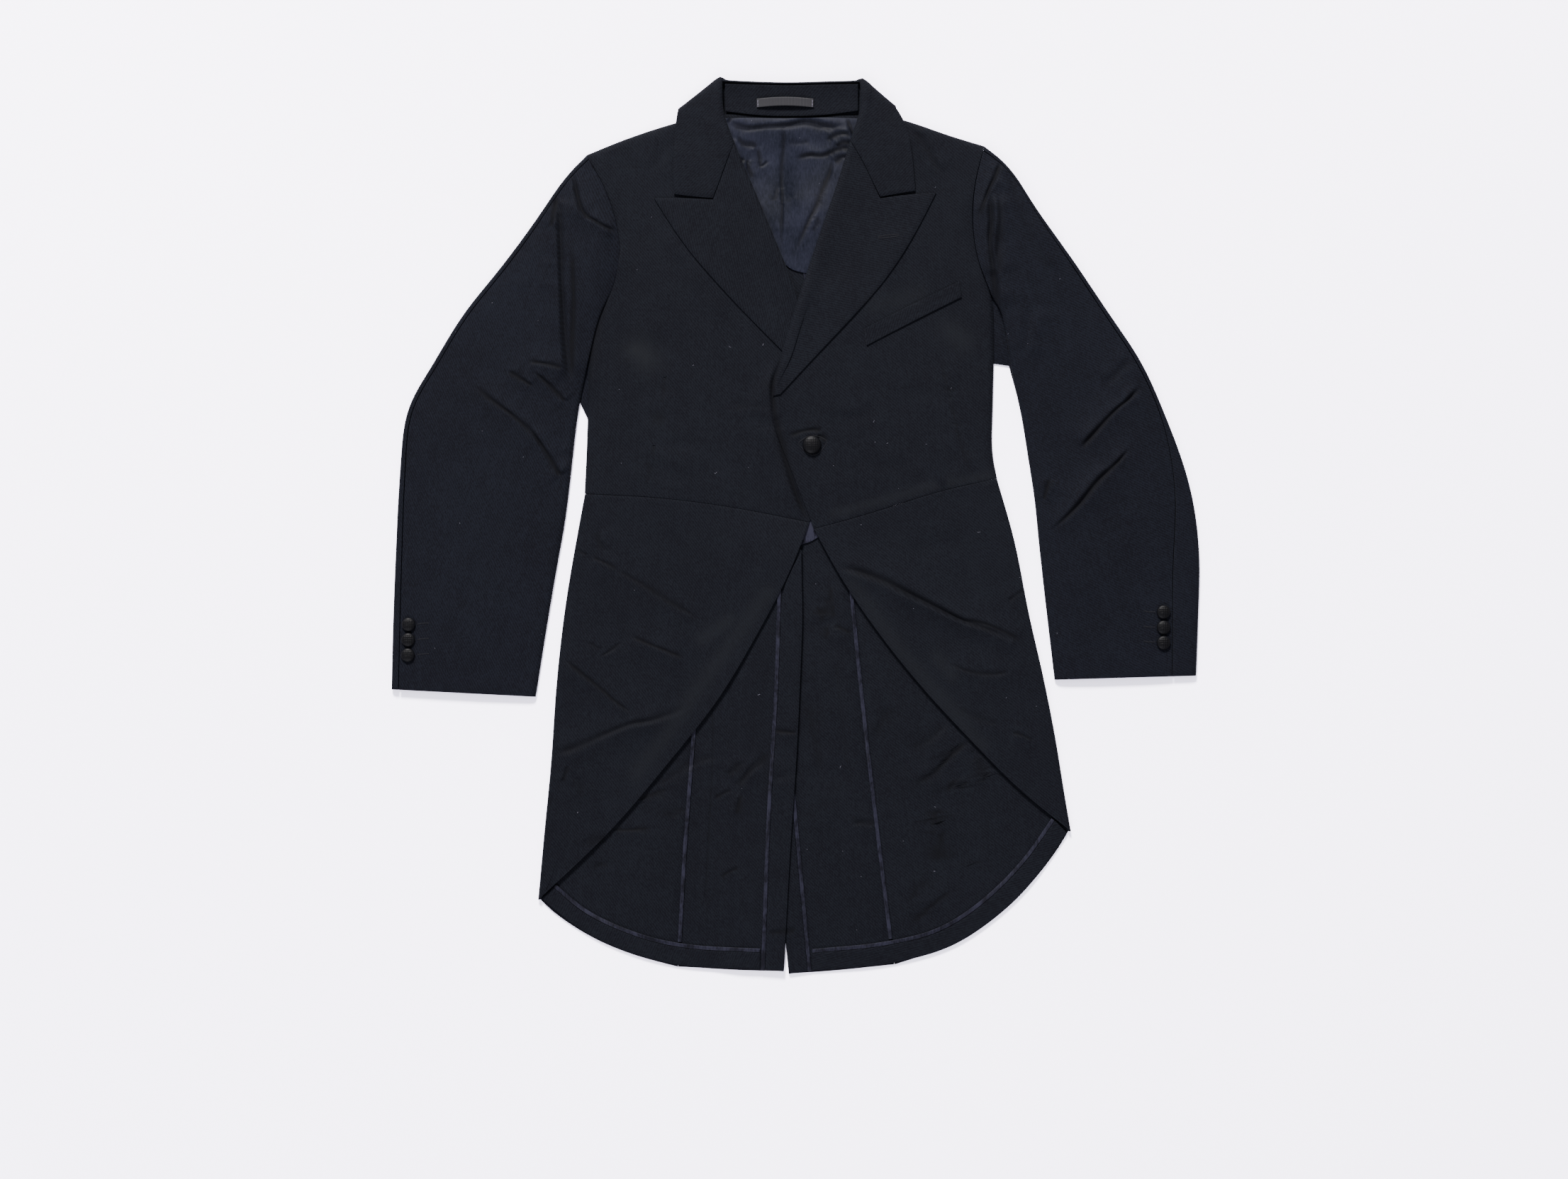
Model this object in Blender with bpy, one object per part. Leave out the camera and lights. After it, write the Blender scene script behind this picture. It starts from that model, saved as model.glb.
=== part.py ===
"""A cutaway morning coat, laid flat on its back, face up and buttoned.

Every table is in millimetres, seen from above with the collar at +Y. The wearer's
right side lies at -X and the wearer's left side at +X. The coat rests on Z = 0.
Each cloth piece is one wall, worked out from its edges, its height and its folds.
"""
import math
from collections import namedtuple

import bmesh
import bpy
import numpy as np

MM = 0.001

# Thickness of each material
CLOTH = 1.2
SATIN = 1.0

# Gap left at a seam, for each of the two pieces, and between two layers
SEAM = 0.2
CLEAR = 0.4

# Heights of the middle of each layer above the surface that the coat rests on
FLOOR_LAYER = CLOTH / 2
LAYER = CLOTH + CLEAR
RIGHT_FRONT = 4.6
LEFT_FRONT = 4.8
SLEEVE_SEAM = 6.2
SLEEVE_TOP = 4.9
EDGE_REST = 1.85

# How far a fold at the sleeve's outer edge and at the skirt's side reaches outwards, and
# the width over which an edge turns down to rest
SLEEVE_TURN = 2.2
SKIRT_TURN = 2.0
BODY_CURL = 5.0
SLEEVE_CURL = 6.0

# Widths of the finished strips
BINDING_WIDTH = 4.0

# Covered buttons
FRONT_BUTTON = 20.0
CUFF_BUTTON = 15.0
CUFF_BUTTON_PITCH = 16.2

Fold = namedtuple("Fold", "path width height")
SleeveSection = namedtuple("SleeveSection", "outer inner seam puff edge")
CollarSection = namedtuple("CollarSection", "roll outer turn")
TailSection = namedtuple("TailSection", "front side")

# Outline of the neck and the shoulders
RIGHT_SHOULDER = [(-79, 437), (-134, 422.9), (-179.1, 408.2), (-221.4, 390.9)]
LEFT_SHOULDER = [(71, 438), (114.6, 428.0), (163.3, 411.5), (199.5, 400.6)]
RIGHT_NECK = [(-10, 431.3), (-40, 432.6), (-79, 437)]
LEFT_NECK = [(-10, 431.3), (34.3, 433), (71, 438)]

# Sides of the body, from the armhole down to the waist
RIGHT_ARMHOLE = [(-221.4, 390.9), (-202.6, 358.8), (-188.6, 315.6), (-185.6, 293.5)]
RIGHT_UNDERARM = [(-185.6, 293.5), (-197, 266), (-219.6, 240)]
RIGHT_SIDE = [(-219.6, 240), (-219.2, 170), (-219.6, 111.4), (-221.3, 65.9), (-222.9, 33.4)]
LEFT_ARMHOLE = [(199.5, 400.6), (189.6, 362), (187.1, 313.7), (195.9, 269.5), (208.5, 244.2)]
LEFT_SIDE = [(208.5, 244.2), (209.6, 200), (208.1, 117.9), (207.6, 75.6), (213, 49.6)]

# Front edges: roll line of the lapel, then the edge from the break to the waist
RIGHT_ROLL = [(-79, 437), (-66.9, 404.9), (-42.6, 347.6), (-16.2, 283.9), (5.1, 233), (46, 126)]
RIGHT_EDGE = [(46, 126), (41, 85), (31, 47), (14.5, 3.5)]
LEFT_ROLL = [(71, 438), (63, 415.9), (47.5, 365.3), (25.5, 301.4), (-12.3, 182.6), (-27.2, 128.5)]
LEFT_EDGE = [(-27.2, 128.5), (-26.1, 117.9), (-5, 59.4), (19.4, -3.4)]

# Waist seams, and the side-back seams that end in the tails
RIGHT_WAIST = [(14.5, 3.5), (-63.5, 18.7), (-141.6, 29.1), (-222.9, 33.4)]
LEFT_WAIST = [(19.4, -3.4), (53.6, 5.7), (102.3, 20.3), (151.2, 35.9), (213, 49.6)]
RIGHT_BACK_SEAM = [(-217, 306), (-160, 215), (-112, 110), (-93, 8)]
LEFT_BACK_SEAM = [(204, 306), (150, 215), (86, 110), (54, 8)]
RIGHT_TAIL_SEAM = [(-93, 8), (-100, -110), (-107.3, -214.9), (-117.1, -342.6), (-124.3, -466.5)]
LEFT_TAIL_SEAM = [(54, 8), (58.3, -71.3), (67.8, -159.9), (85.5, -315.3), (104.5, -464.2)]

# Skirts: the curved front edge and the folded side, from the waist to the hem's corner
RIGHT_SKIRT = [
    TailSection((14.5, 3.5), (-222.9, 33.4)),
    TailSection((-3, -42), (-229.5, -2)),
    TailSection((-41.3, -116.2), (-244.6, -92)),
    TailSection((-82.2, -184.4), (-253.6, -175)),
    TailSection((-133, -249), (-258.4, -248)),
    TailSection((-194, -320.8), (-265.6, -322)),
    TailSection((-267, -391), (-272.3, -396)),
]
LEFT_SKIRT = [
    TailSection((19.4, -3.4), (213, 49.6)),
    TailSection((46, -52), (231, -13)),
    TailSection((86.1, -111.4), (247, -94)),
    TailSection((131, -168), (262.2, -160)),
    TailSection((186.4, -228.1), (274.5, -222)),
    TailSection((238, -280), (284.5, -284)),
    TailSection((286.5, -319.5), (291.2, -323.5)),
]
RIGHT_HEM = [(-272.3, -396), (-251.2, -413.5), (-218.5, -435.3), (-177.6, -453), (-124.3, -466.5)]
LEFT_HEM = [(291.2, -323.5), (279.1, -341.2), (240.9, -391.6), (208.2, -420.3), (170.1, -444.8),
            (104.5, -464.2)]
RIGHT_BACK_HEM = [(-12, -470.9), (-60, -470), (-124.3, -466.5)]
LEFT_BACK_HEM = [(-7.5, -474), (36.5, -471.2), (104.5, -464.2)]

# Centre back: a seam to the waist, then the right tail laps over the left tail
CENTRE_SEAM = [(-10, 388), (-11, 200), (-10, -10)]
RIGHT_VENT = [(-10, -10), (-1, -17), (6.8, -27)]
RIGHT_VENT_EDGE = [(6.8, -27), (6.9, -55), (8.3, -88), (6.4, -140), (2.9, -222.6),
                   (-5.9, -358.9), (-12, -470.9)]
LEFT_VENT = [(-10, -66), (-30, -68), (-44, -76)]
LEFT_VENT_EDGE = [(-44, -76), (-38, -170), (-26, -290), (-16.5, -380), (-7.5, -474)]
LEFT_CENTRE_SEAM = [(-10, 388), (-11, 200), (-10, -66)]

# Lapels: their share of the roll line, the front edge of each, and the top edge from
# the gorge to the point
LAPEL_SHARE = (0.112, 0.975)
RIGHT_LAPEL_EDGE = [(-149.5, 345.8), (-119.7, 299.7), (-70.2, 242), (-12.3, 182.6), (37, 132)]
RIGHT_GORGE = [(-67, 400.7), (-78, 370), (-87.3, 344.3)]
RIGHT_LAPEL_TOP = [(-87.3, 344.3), (-120, 346.2), (-149.5, 345.8)]
LEFT_LAPEL_EDGE = [(148.4, 351.5), (126.5, 308.9), (94.2, 259.1), (59.4, 219.4), (22, 179.6),
                   (-16, 138.5)]
LEFT_GORGE = [(64, 400.5), (77, 372), (89.4, 345.5)]
LEFT_LAPEL_TOP = [(89.4, 345.5), (120, 350), (148.4, 351.5)]

# Collar: its fold, its outer edge, and how far it has turned under the neck, in degrees
COLLAR = [
    CollarSection((-67, 400.7, 6.2), (-128.4, 349.6), 0),
    CollarSection((-73.5, 431.3, 6.2), (-128.6, 385), 0),
    CollarSection((-78.6, 456, 6.4), (-126.6, 422), 10),
    CollarSection((-78.4, 468.2, 6.6), (-122.4, 435.0), 70),
    CollarSection((-76.4, 468.6, 6.8), (-119, 434.5), 125),
    CollarSection((-72, 468.2, 6.9), (-113, 428.0), 172),
    CollarSection((-40, 466.4, 7.0), (-52, 422), 180),
    CollarSection((-7.5, 465.6, 7.0), (-7.5, 421), 180),
    CollarSection((30, 466.6, 7.0), (38, 422), 180),
    CollarSection((62, 467.6, 6.9), (94, 429.0), 172),
    CollarSection((67.0, 467.6, 6.8), (101, 437.4), 125),
    CollarSection((69.0, 466.4, 6.6), (104.5, 437.6), 70),
    CollarSection((70.2, 452, 6.4), (118, 418), 10),
    CollarSection((67, 428, 6.2), (123.6, 386), 0),
    CollarSection((64, 400.5, 6.2), (126.4, 353), 0),
]
RIGHT_COLLAR_END = [(-87.3, 345.2), (-110, 347), (-128.4, 349.6)]
LEFT_COLLAR_END = [(89.4, 346.6), (108, 350), (126.4, 353)]

# Section of a soft roll: distance out from the roll line, and height above the cloth
ROLL = [(-0.3, 0.0), (-1.7, 0.4), (-2.2, 1.7), (-0.9, 3.0), (3.0, 3.9), (10.0, 3.5)]

# The same places where the roll has died away and the cloth lies flat
PRESSED = [(distance, LAYER) for distance in (0.4, 1.4, 2.6, 4.2, 6.6, 10.0)]

# Depth of the fall under its fold at the back of the neck, across the same places
BACK_FALL = (0.0, 1.0, 3.2, 5.4, 6.2, 6.4, 6.4, 6.4, 6.4, 6.4, 6.4)

# Stand at the back of the neck: seam, middle and fold, from right to left
STAND_SEAM = [(-74, 437.4, 4.2), (-40, 433.4, 4.1), (-8, 432.2, 4.1), (34, 433.9, 4.1),
              (66, 438.2, 4.2)]
STAND_FOLD = [(-74.5, 466.2, 6.6), (-40, 465.2, 7), (-8, 464.4, 7), (32, 465.4, 7),
              (66, 466.0, 6.6)]

# Sleeves: outer edge, inner edge, width of cloth that laps the outer edge, rise of the
# upper layer, and height of the inner edge
RIGHT_SLEEVE = [
    SleeveSection((-222.0, 391.0), (-185.6, 293.5), 3, 1.5, 6.2),
    SleeveSection((-246, 365), (-190.5, 257), 3, 5.0, 6.2),
    SleeveSection((-272, 326.6), (-206, 226), 3, 5.0, 6.2),
    SleeveSection((-310, 275), (-216, 188), 3, 4.0, 6.0),
    SleeveSection((-352, 223), (-225, 148), 3, 3.5, 3.0),
    SleeveSection((-384, 170), (-232, 107), 3, 3.0, 1.85),
    SleeveSection((-410, 124.7), (-237, 62), 3, 3.0, 1.85),
    SleeveSection((-418.5, 55), (-243.5, 8), 4, 2.5, 1.85),
    SleeveSection((-423, -30), (-253.6, -49.2), 5, 2.0, 1.85),
    SleeveSection((-426, -110), (-265, -117), 5.8, 1.5, 1.85),
    SleeveSection((-427.4, -173.2), (-275.1, -181), 5.8, 1.0, 1.85),
]
LEFT_SLEEVE = [
    SleeveSection((200.3, 400.6), (210.5, 246), 3, 1.5, 1.85),
    SleeveSection((224.4, 381), (221, 226), 3, 5.0, 1.85),
    SleeveSection((251.7, 338.9), (226.3, 189.5), 3, 5.0, 1.85),
    SleeveSection((289.6, 286.3), (231.5, 152), 3, 4.0, 1.85),
    SleeveSection((331.7, 224.2), (239.5, 115), 3, 3.5, 1.85),
    SleeveSection((367, 171), (246.4, 71), 3, 3.0, 1.85),
    SleeveSection((391, 117), (252.5, 32), 3, 3.0, 1.85),
    SleeveSection((417.2, 42.5), (257.5, -17), 15, 3.0, 1.85),
    SleeveSection((427.2, -30), (263.5, -72), 27, 2.5, 1.85),
    SleeveSection((426, -95), (269, -119), 26, 1.5, 1.85),
    SleeveSection((423.8, -158.7), (274.2, -163), 23.5, 1.0, 1.85),
]

# Inner edge of each under sleeve, which fills the armpit down to a corner: each stretch
# with its number of rows
RIGHT_UNDER_SLEEVE = [
    ([(-219.2, 240), (-219.0, 190), (-219.3, 112)], 5),
    ([(-219.3, 112), (-228.4, 131)], 1),
    ([(-228.4, 131), (-232, 107), (-237, 62), (-243.5, 8), (-253.6, -49.2), (-265, -117),
      (-275.1, -181)], 19),
]
LEFT_UNDER_SLEEVE = [
    ([(208.6, 244), (208.8, 200), (208.6, 171)], 4),
    ([(208.6, 171), (225.6, 168.5)], 1),
    ([(225.6, 168.5), (239.5, 115), (246.4, 71), (252.5, 32), (257.5, -17), (263.5, -72),
      (269, -119), (274.2, -163)], 20),
]

# Breast welt: its lower edge and its upper edge
WELT_LOW = [(74.9, 190), (124, 215.5), (175.3, 241.1)]
WELT_TOP = [(73, 207.7), (122, 233), (172.8, 257.6)]

# Linings: satin in the open neck, and a small corner under the crossed fronts
LINING_RIGHT = [(-76, 430), (-80, 400), (-58, 345), (-30, 268)]
LINING_LEFT = [(66, 430), (74, 400), (58, 345), (36, 262)]
LINING_NECK = [(-76, 430), (-40, 430.4), (-8, 429.6), (34, 430.6), (66, 430)]
LINING_HEM = [(-30, 277), (-15.2, 281.6), (-9.6, 274), (15.6, 265.8), (36, 262)]
WAIST_LINING_TOP = [(-7, 34), (30, 32), (62, 34)]
WAIST_LINING_HEM = [(-7, -14), (7.3, -21.3), (24, -12), (48, 2)]

# Bindings: middle of each strip, from the waist or the corner downwards
VENT_BINDING_RIGHT = [(-17.1, -66), (-20.9, -181.7), (-27.7, -290.8), (-34.5, -469.4)]
VENT_BINDING_LEFT = [(-20, -80), (-14, -170), (-1.8, -290.8), (7.8, -394.3), (14.8, -471)]
SEAM_BINDING_RIGHT = [(-98, -80), (-107.3, -214.9), (-117.1, -342.6), (-122.6, -440.2)]
SEAM_BINDING_LEFT = [(57, -50), (67.8, -159.9), (85.5, -315.3), (100.4, -437)]
HEM_BINDING_RIGHT = [(-254.5, -380.8), (-224, -406.6), (-185.8, -425.7), (-150.3, -438),
                     (-117.6, -444.3), (-37.5, -448.7)]
HEM_BINDING_LEFT = [(272.3, -310.4), (240.9, -354.8), (213.7, -383.5), (186.4, -406.6),
                    (149.6, -428.5), (101.9, -440.7), (17.5, -449.7)]
HEM_FACING_RIGHT = [(-268.5, -394), (-249, -411), (-217, -433), (-176.6, -451), (-124, -464.5),
                    (-60, -468), (-37.8, -468.6)]
HEM_FACING_LEFT = [(287, -325), (276, -341.5), (239, -389.6), (206.6, -418.3), (169, -442.8),
                   (104, -462.2), (36, -469.2), (18.4, -470.4)]

# Hanger loop on the stand
LOOP_SPAN = (-41.0, 19.0)
LOOP_MIDDLE = 445.8
LOOP_WIDTH = 9.0
LOOP_RISE = 2.2
STAND_HOLLOW = 0.7

# Where the right hem facing steps up on to the lapped vent, over what width and how far
HEM_STEP_AT = -76
HEM_STEP_WIDTH = 24
HEM_STEP = 0.5

# Folds of the upper layers, each along a path, with its half width and its height
SLEEVE_FOLDS_RIGHT = [
    Fold([(-236, 374), (-224, 334), (-205, 316)], 9, 2.0),
    Fold([(-247.8, 350), (-244, 275), (-238, 170)], 12, -2.2),
    Fold([(-222, 330), (-214, 270), (-222, 190)], 14, 1.8),
    Fold([(-300, 168), (-262, 170), (-240, 158)], 10, 1.6),
    Fold([(-278, 165), (-246, 133)], 9, 1.8),
    Fold([(-332, 147), (-302, 117), (-272, 96)], 12, 2.0),
    Fold([(-284, 108), (-266, 83), (-249, 52)], 9, -1.6),
]
SLEEVE_FOLDS_LEFT = [
    Fold([(219, 380), (205, 352), (197, 322)], 9, 2.0),
    Fold([(209, 335), (208, 290), (216, 225)], 9, -2.4),
    Fold([(224, 380), (236, 335), (258, 288), (276, 250)], 13, 2.2),
    Fold([(363, 145), (336, 120), (303, 83)], 11, 2.0),
    Fold([(353, 80), (320, 47), (292, 17), (268, -8)], 10, 2.0),
    Fold([(248, 234), (241, 179)], 10, 1.5),
]
SKIRT_FOLDS_RIGHT = [
    Fold([(-248, -138), (-210, -160), (-172, -193)], 11, 1.8),
    Fold([(-175, -116), (-120, -140)], 9, 1.4),
    Fold([(-257, -239), (-205, -220), (-164, -206), (-109, -190)], 13, 2.0),
    Fold([(-210, -32), (-164, -58), (-102, -90)], 16, 1.4),
    Fold([(-238, -247), (-243, -269)], 9, 1.2),
]
SKIRT_FOLDS_LEFT = [
    Fold([(47, -41), (86, -50), (135, -72), (168, -90), (240, -118)], 11, 2.4),
    Fold([(60, -62), (100, -72), (135, -88), (168, -106), (236, -134)], 11, -1.2),
    Fold([(173, -149), (254, -157)], 12, 1.2),
    Fold([(230, -217), (252, -223)], 9, 1.2),
]
LINING_FOLDS = [
    Fold([(-14, 431), (-16, 382), (-15, 334), (-16, 280)], 6, 1.2),
    Fold([(-70, 416), (-30, 412), (10, 417), (58, 411)], 7, 1.2),
    Fold([(0, 392), (30, 385), (60, 390)], 6, 0.9),
]


def paint(name, colour, roughness, metallic=0.0):
    """A plain Principled material from an sRGB hex colour."""
    material = bpy.data.materials.new(name)
    material.use_nodes = True
    shader = material.node_tree.nodes["Principled BSDF"]
    channels = [int(colour[i:i + 2], 16) / 255 for i in (0, 2, 4)]
    linear = [c / 12.92 if c <= 0.04045 else ((c + 0.055) / 1.055) ** 2.4 for c in channels]
    shader.inputs["Base Color"].default_value = (*linear, 1.0)
    shader.inputs["Roughness"].default_value = roughness
    shader.inputs["Metallic"].default_value = metallic
    return material


def ramp(value, start, end):
    """A smooth step from 0 at start to 1 at end."""
    t = np.clip((np.asarray(value, float) - start) / (end - start), 0.0, 1.0)
    return t * t * (3.0 - 2.0 * t)


def smooth_points(points, per_span=12):
    """A smooth curve through a few points of any dimension."""
    points = np.array(points, float)
    if len(points) == 2:
        return points[0] + (points[1] - points[0]) * np.linspace(0, 1, per_span + 1)[:, None]
    knots = np.concatenate([[0], np.cumsum(np.linalg.norm(np.diff(points, axis=0), axis=1))])
    slopes = np.gradient(points, knots, axis=0)
    result = []
    for i in range(len(points) - 1):
        step = knots[i + 1] - knots[i]
        t = np.linspace(0, 1, per_span, endpoint=False)[:, None]
        result.append((2 * t**3 - 3 * t**2 + 1) * points[i] + (t**3 - 2 * t**2 + t) * step * slopes[i]
                      + (3 * t**2 - 2 * t**3) * points[i + 1] + (t**3 - t**2) * step * slopes[i + 1])
    return np.vstack(result + [points[-1:]])


def trace(stretches, fractions):
    """Points at fractions of the length of a line made of smooth stretches."""
    if not isinstance(stretches[0], list):
        stretches = [stretches]
    dense = np.vstack([smooth_points(stretch) for stretch in stretches])
    lengths = np.linalg.norm(np.diff(dense, axis=0), axis=1)
    keep = np.concatenate([[True], lengths > 1e-9])
    dense = dense[keep]
    along = np.concatenate([[0], np.cumsum(np.linalg.norm(np.diff(dense, axis=0), axis=1))])
    wanted = np.asarray(fractions) * along[-1]
    return np.stack([np.interp(wanted, along, dense[:, k]) for k in range(dense.shape[1])], axis=1)


def chain(*runs):
    """Points along several stretches, each cut into its own number of equal parts."""
    pieces = [trace(stretch, even(parts))[:-1] for stretch, parts in runs]
    last = np.array([runs[-1][0][-1]], float)
    return np.vstack(pieces + [last])


def shares(line):
    """Fractions of its length at which a line's points lie."""
    along = np.concatenate([[0], np.cumsum(np.linalg.norm(np.diff(line, axis=0), axis=1))])
    return along / along[-1]


def even(parts):
    """Fractions from 0 to 1 in equal parts."""
    return np.linspace(0.0, 1.0, parts + 1)


def unit(vectors):
    """Vectors of length one."""
    return vectors / np.maximum(np.linalg.norm(vectors, axis=-1, keepdims=True), 1e-12)


def patch(near, far, across, first=None, last=None, first_fade=1.0, last_fade=1.0, down=None):
    """A grid ruled between two edges, with its first and last rows bent to given lines."""
    down = even(len(near) - 1) if down is None else down
    across = np.asarray(across)
    grid = near[:, None] * (1 - across)[None, :, None] + far[:, None] * across[None, :, None]
    if first is not None:
        shift = first - grid[0]
        shift[[0, -1]] = 0
        grid = grid + shift[None] * ((1 - ramp_line(down, first_fade))[:, None, None])
    if last is not None:
        shift = last - grid[-1]
        shift[[0, -1]] = 0
        grid = grid + shift[None] * ((1 - ramp_line(1 - down, last_fade))[:, None, None])
    return grid


def ramp_line(value, end):
    """A straight ramp from 0 at 0 to 1 at end."""
    return np.clip(value / end, 0.0, 1.0)


def inset(grid, near=SEAM, far=SEAM, first=SEAM, last=SEAM):
    """Draw the four edges of a grid inwards, to leave a gap at each seam."""
    grid = grid.copy()
    grid[:, 0] += near * unit(grid[:, 1] - grid[:, 0])
    grid[:, -1] += far * unit(grid[:, -2] - grid[:, -1])
    grid[0] += first * unit(grid[1] - grid[0])
    grid[-1] += last * unit(grid[-2] - grid[-1])
    return grid


def folds(x, y, table):
    """Height of all folds in a table at the given places."""
    total = np.zeros_like(x)
    for fold in table:
        path = smooth_points(fold.path, 6)
        lengths = np.concatenate([[0], np.cumsum(np.linalg.norm(np.diff(path, axis=0), axis=1))])
        best = np.full(x.shape, 1e9)
        place = np.zeros(x.shape)
        for i in range(len(path) - 1):
            run = path[i + 1] - path[i]
            t = ((x - path[i][0]) * run[0] + (y - path[i][1]) * run[1]) / (run @ run)
            t = np.clip(t, 0, 1)
            gap = np.hypot(x - path[i][0] - t * run[0], y - path[i][1] - t * run[1])
            closer = gap < best
            best = np.where(closer, gap, best)
            place = np.where(closer, (lengths[i] + t * (lengths[i + 1] - lengths[i])), place)
        taper = np.sin(np.pi * np.clip(place / lengths[-1], 0.06, 0.94)) ** 0.5
        total += fold.height * taper * np.exp(-(best / fold.width) ** 2)
    return total


def over_collar(x, y):
    """Rise of the body where the collar lies under the back of the neck."""
    return LAYER * ramp(y, 390, 412) * ramp(abs(x + 5), 156, 128)


def right_back_height(x, y):
    """Middle of the right back, which laps over the left tail."""
    lap = 2 * LAYER * ramp(y, 14, -16) * ramp(x, -92, -52)
    return FLOOR_LAYER + over_collar(x, y) + lap


def left_back_height(x, y):
    """Middle of the left back, flat on the floor below the neck."""
    return FLOOR_LAYER + over_collar(x, y)


def right_front_height(x, y):
    """Middle of the right front, low under the left front and high over the lapped vent."""
    dip = -1.0 * ramp(x, -96, -38) * ramp(y, 296, 266) * ramp(y, -30, 0)
    vent = 2.4 * ramp(x, -100, -62) * ramp(y, 6, -16)
    return RIGHT_FRONT + dip + vent + over_collar(x, y)


def left_front_height(x, y):
    """Middle of the left front, which laps over the right front and its lapel."""
    lap = 0.4 * ramp(x, 90, 60) * ramp(y, 262, 235)
    lapel = LAYER * ramp(y, 96, 116) * ramp(y, 270, 247) * ramp(x, 92, 50)
    return LEFT_FRONT + lap + lapel + over_collar(x, y)


def raised(grid, height, table=()):
    """A plan grid given its heights and folds."""
    x, y = grid[..., 0], grid[..., 1]
    z = height(x, y) + folds(x, y, table)
    return np.stack([x, y, z], axis=2)


def curl(grid, side, radius, rest, strength=None):
    """Turn one edge of a grid down to a resting height. Side is near, far or first."""
    grid = grid.copy()
    turned = grid if side != "first" else grid.transpose(1, 0, 2)
    edge = turned[:, -1:] if side == "far" else turned[:, :1]
    gap = np.linalg.norm(turned[..., :2] - edge[..., :2], axis=2)
    arc = np.sqrt(1 - (1 - np.clip(gap / radius, 0, 1)) ** 2)
    strength = np.ones(len(turned)) if strength is None else strength
    rest = np.broadcast_to(np.asarray(rest, float), (len(turned),))[:, None]
    drop = (turned[..., 2] - rest) * (1 - arc) * strength[:, None]
    turned[..., 2] -= np.maximum(drop, 0)
    return turned if side != "first" else turned.transpose(1, 0, 2)


def solid(name, points, faces, material):
    """One named object from points in millimetres."""
    mesh = bpy.data.meshes.new(name)
    mesh.from_pydata((np.asarray(points) * MM).tolist(), [], faces)
    mesh.update()
    built = bmesh.new()
    built.from_mesh(mesh)
    bmesh.ops.triangulate(built, faces=built.faces)
    built.to_mesh(mesh)
    built.free()
    mesh.materials.append(material)
    mesh.shade_smooth()
    mesh.set_sharp_from_angle(angle=math.radians(50))
    item = bpy.data.objects.new(name, mesh)
    bpy.context.collection.objects.link(item)
    return item


def wall(name, grid, thickness, material):
    """A closed cloth wall about a grid of points, half of its thickness to each side."""
    rows, columns = grid.shape[:2]
    normal = unit(np.cross(np.gradient(grid, axis=0), np.gradient(grid, axis=1)))
    points = np.concatenate([(grid + normal * thickness / 2).reshape(-1, 3),
                             (grid - normal * thickness / 2).reshape(-1, 3)])
    back = rows * columns

    def at(i, j):
        return i * columns + j

    faces = []
    for i in range(rows - 1):
        for j in range(columns - 1):
            quad = [at(i, j), at(i + 1, j), at(i + 1, j + 1), at(i, j + 1)]
            faces.append(quad)
            faces.append([back + k for k in reversed(quad)])
    rim = [at(i, 0) for i in range(rows)]
    rim += [at(rows - 1, j) for j in range(1, columns)]
    rim += [at(i, columns - 1) for i in range(rows - 2, -1, -1)]
    rim += [at(0, j) for j in range(columns - 2, 0, -1)]
    for a, b in zip(rim, rim[1:] + rim[:1]):
        faces.append([b, a, back + a, back + b])
    return solid(name, points, faces, material)


def offset(line, distance):
    """A plan line moved sideways, to the left of its direction when positive."""
    run = unit(np.gradient(line, axis=0))
    return line + distance * np.stack([-run[:, 1], run[:, 0]], axis=1)


def rolled(roll, edge, top, height, low, end):
    """A lapel: a soft roll that dies away from the share low to the share end."""
    top[0] = roll[0]
    across = shares(top)
    grid = patch(roll, edge, across, first=top)
    out = unit(grid[:, 1] - grid[:, 0])
    reach = np.linalg.norm(grid[:, 1] - grid[:, 0], axis=1)[:, None]
    swell = ramp(even(len(roll) - 1), end, low)[:, None]
    squeeze = np.clip(reach / (ROLL[-1][0] * 1.5), 0.2, 1.0)
    columns = []
    for (soft_out, soft_up), (flat_out, flat_up) in zip(ROLL, PRESSED):
        distance = soft_out * swell + flat_out * squeeze * (1 - swell)
        place = grid[:, 0] + out * distance
        rise = soft_up * swell + flat_up * (1 - swell)
        z = height(place[:, 0], place[:, 1])[:, None] + rise
        columns.append(np.concatenate([place, z], axis=1))
    for k, share in enumerate(across[1:], start=1):
        place = grid[:, k]
        base = height(place[:, 0], place[:, 1])[:, None]
        z = base + LAYER + (ROLL[-1][1] - LAYER) * swell * (1 - share) ** 4
        columns.append(np.concatenate([place, z], axis=1))
    return np.stack(columns, axis=1)


def clear():
    """Start from an empty scene."""
    for item in list(bpy.data.objects):
        bpy.data.objects.remove(item, do_unlink=True)


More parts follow.
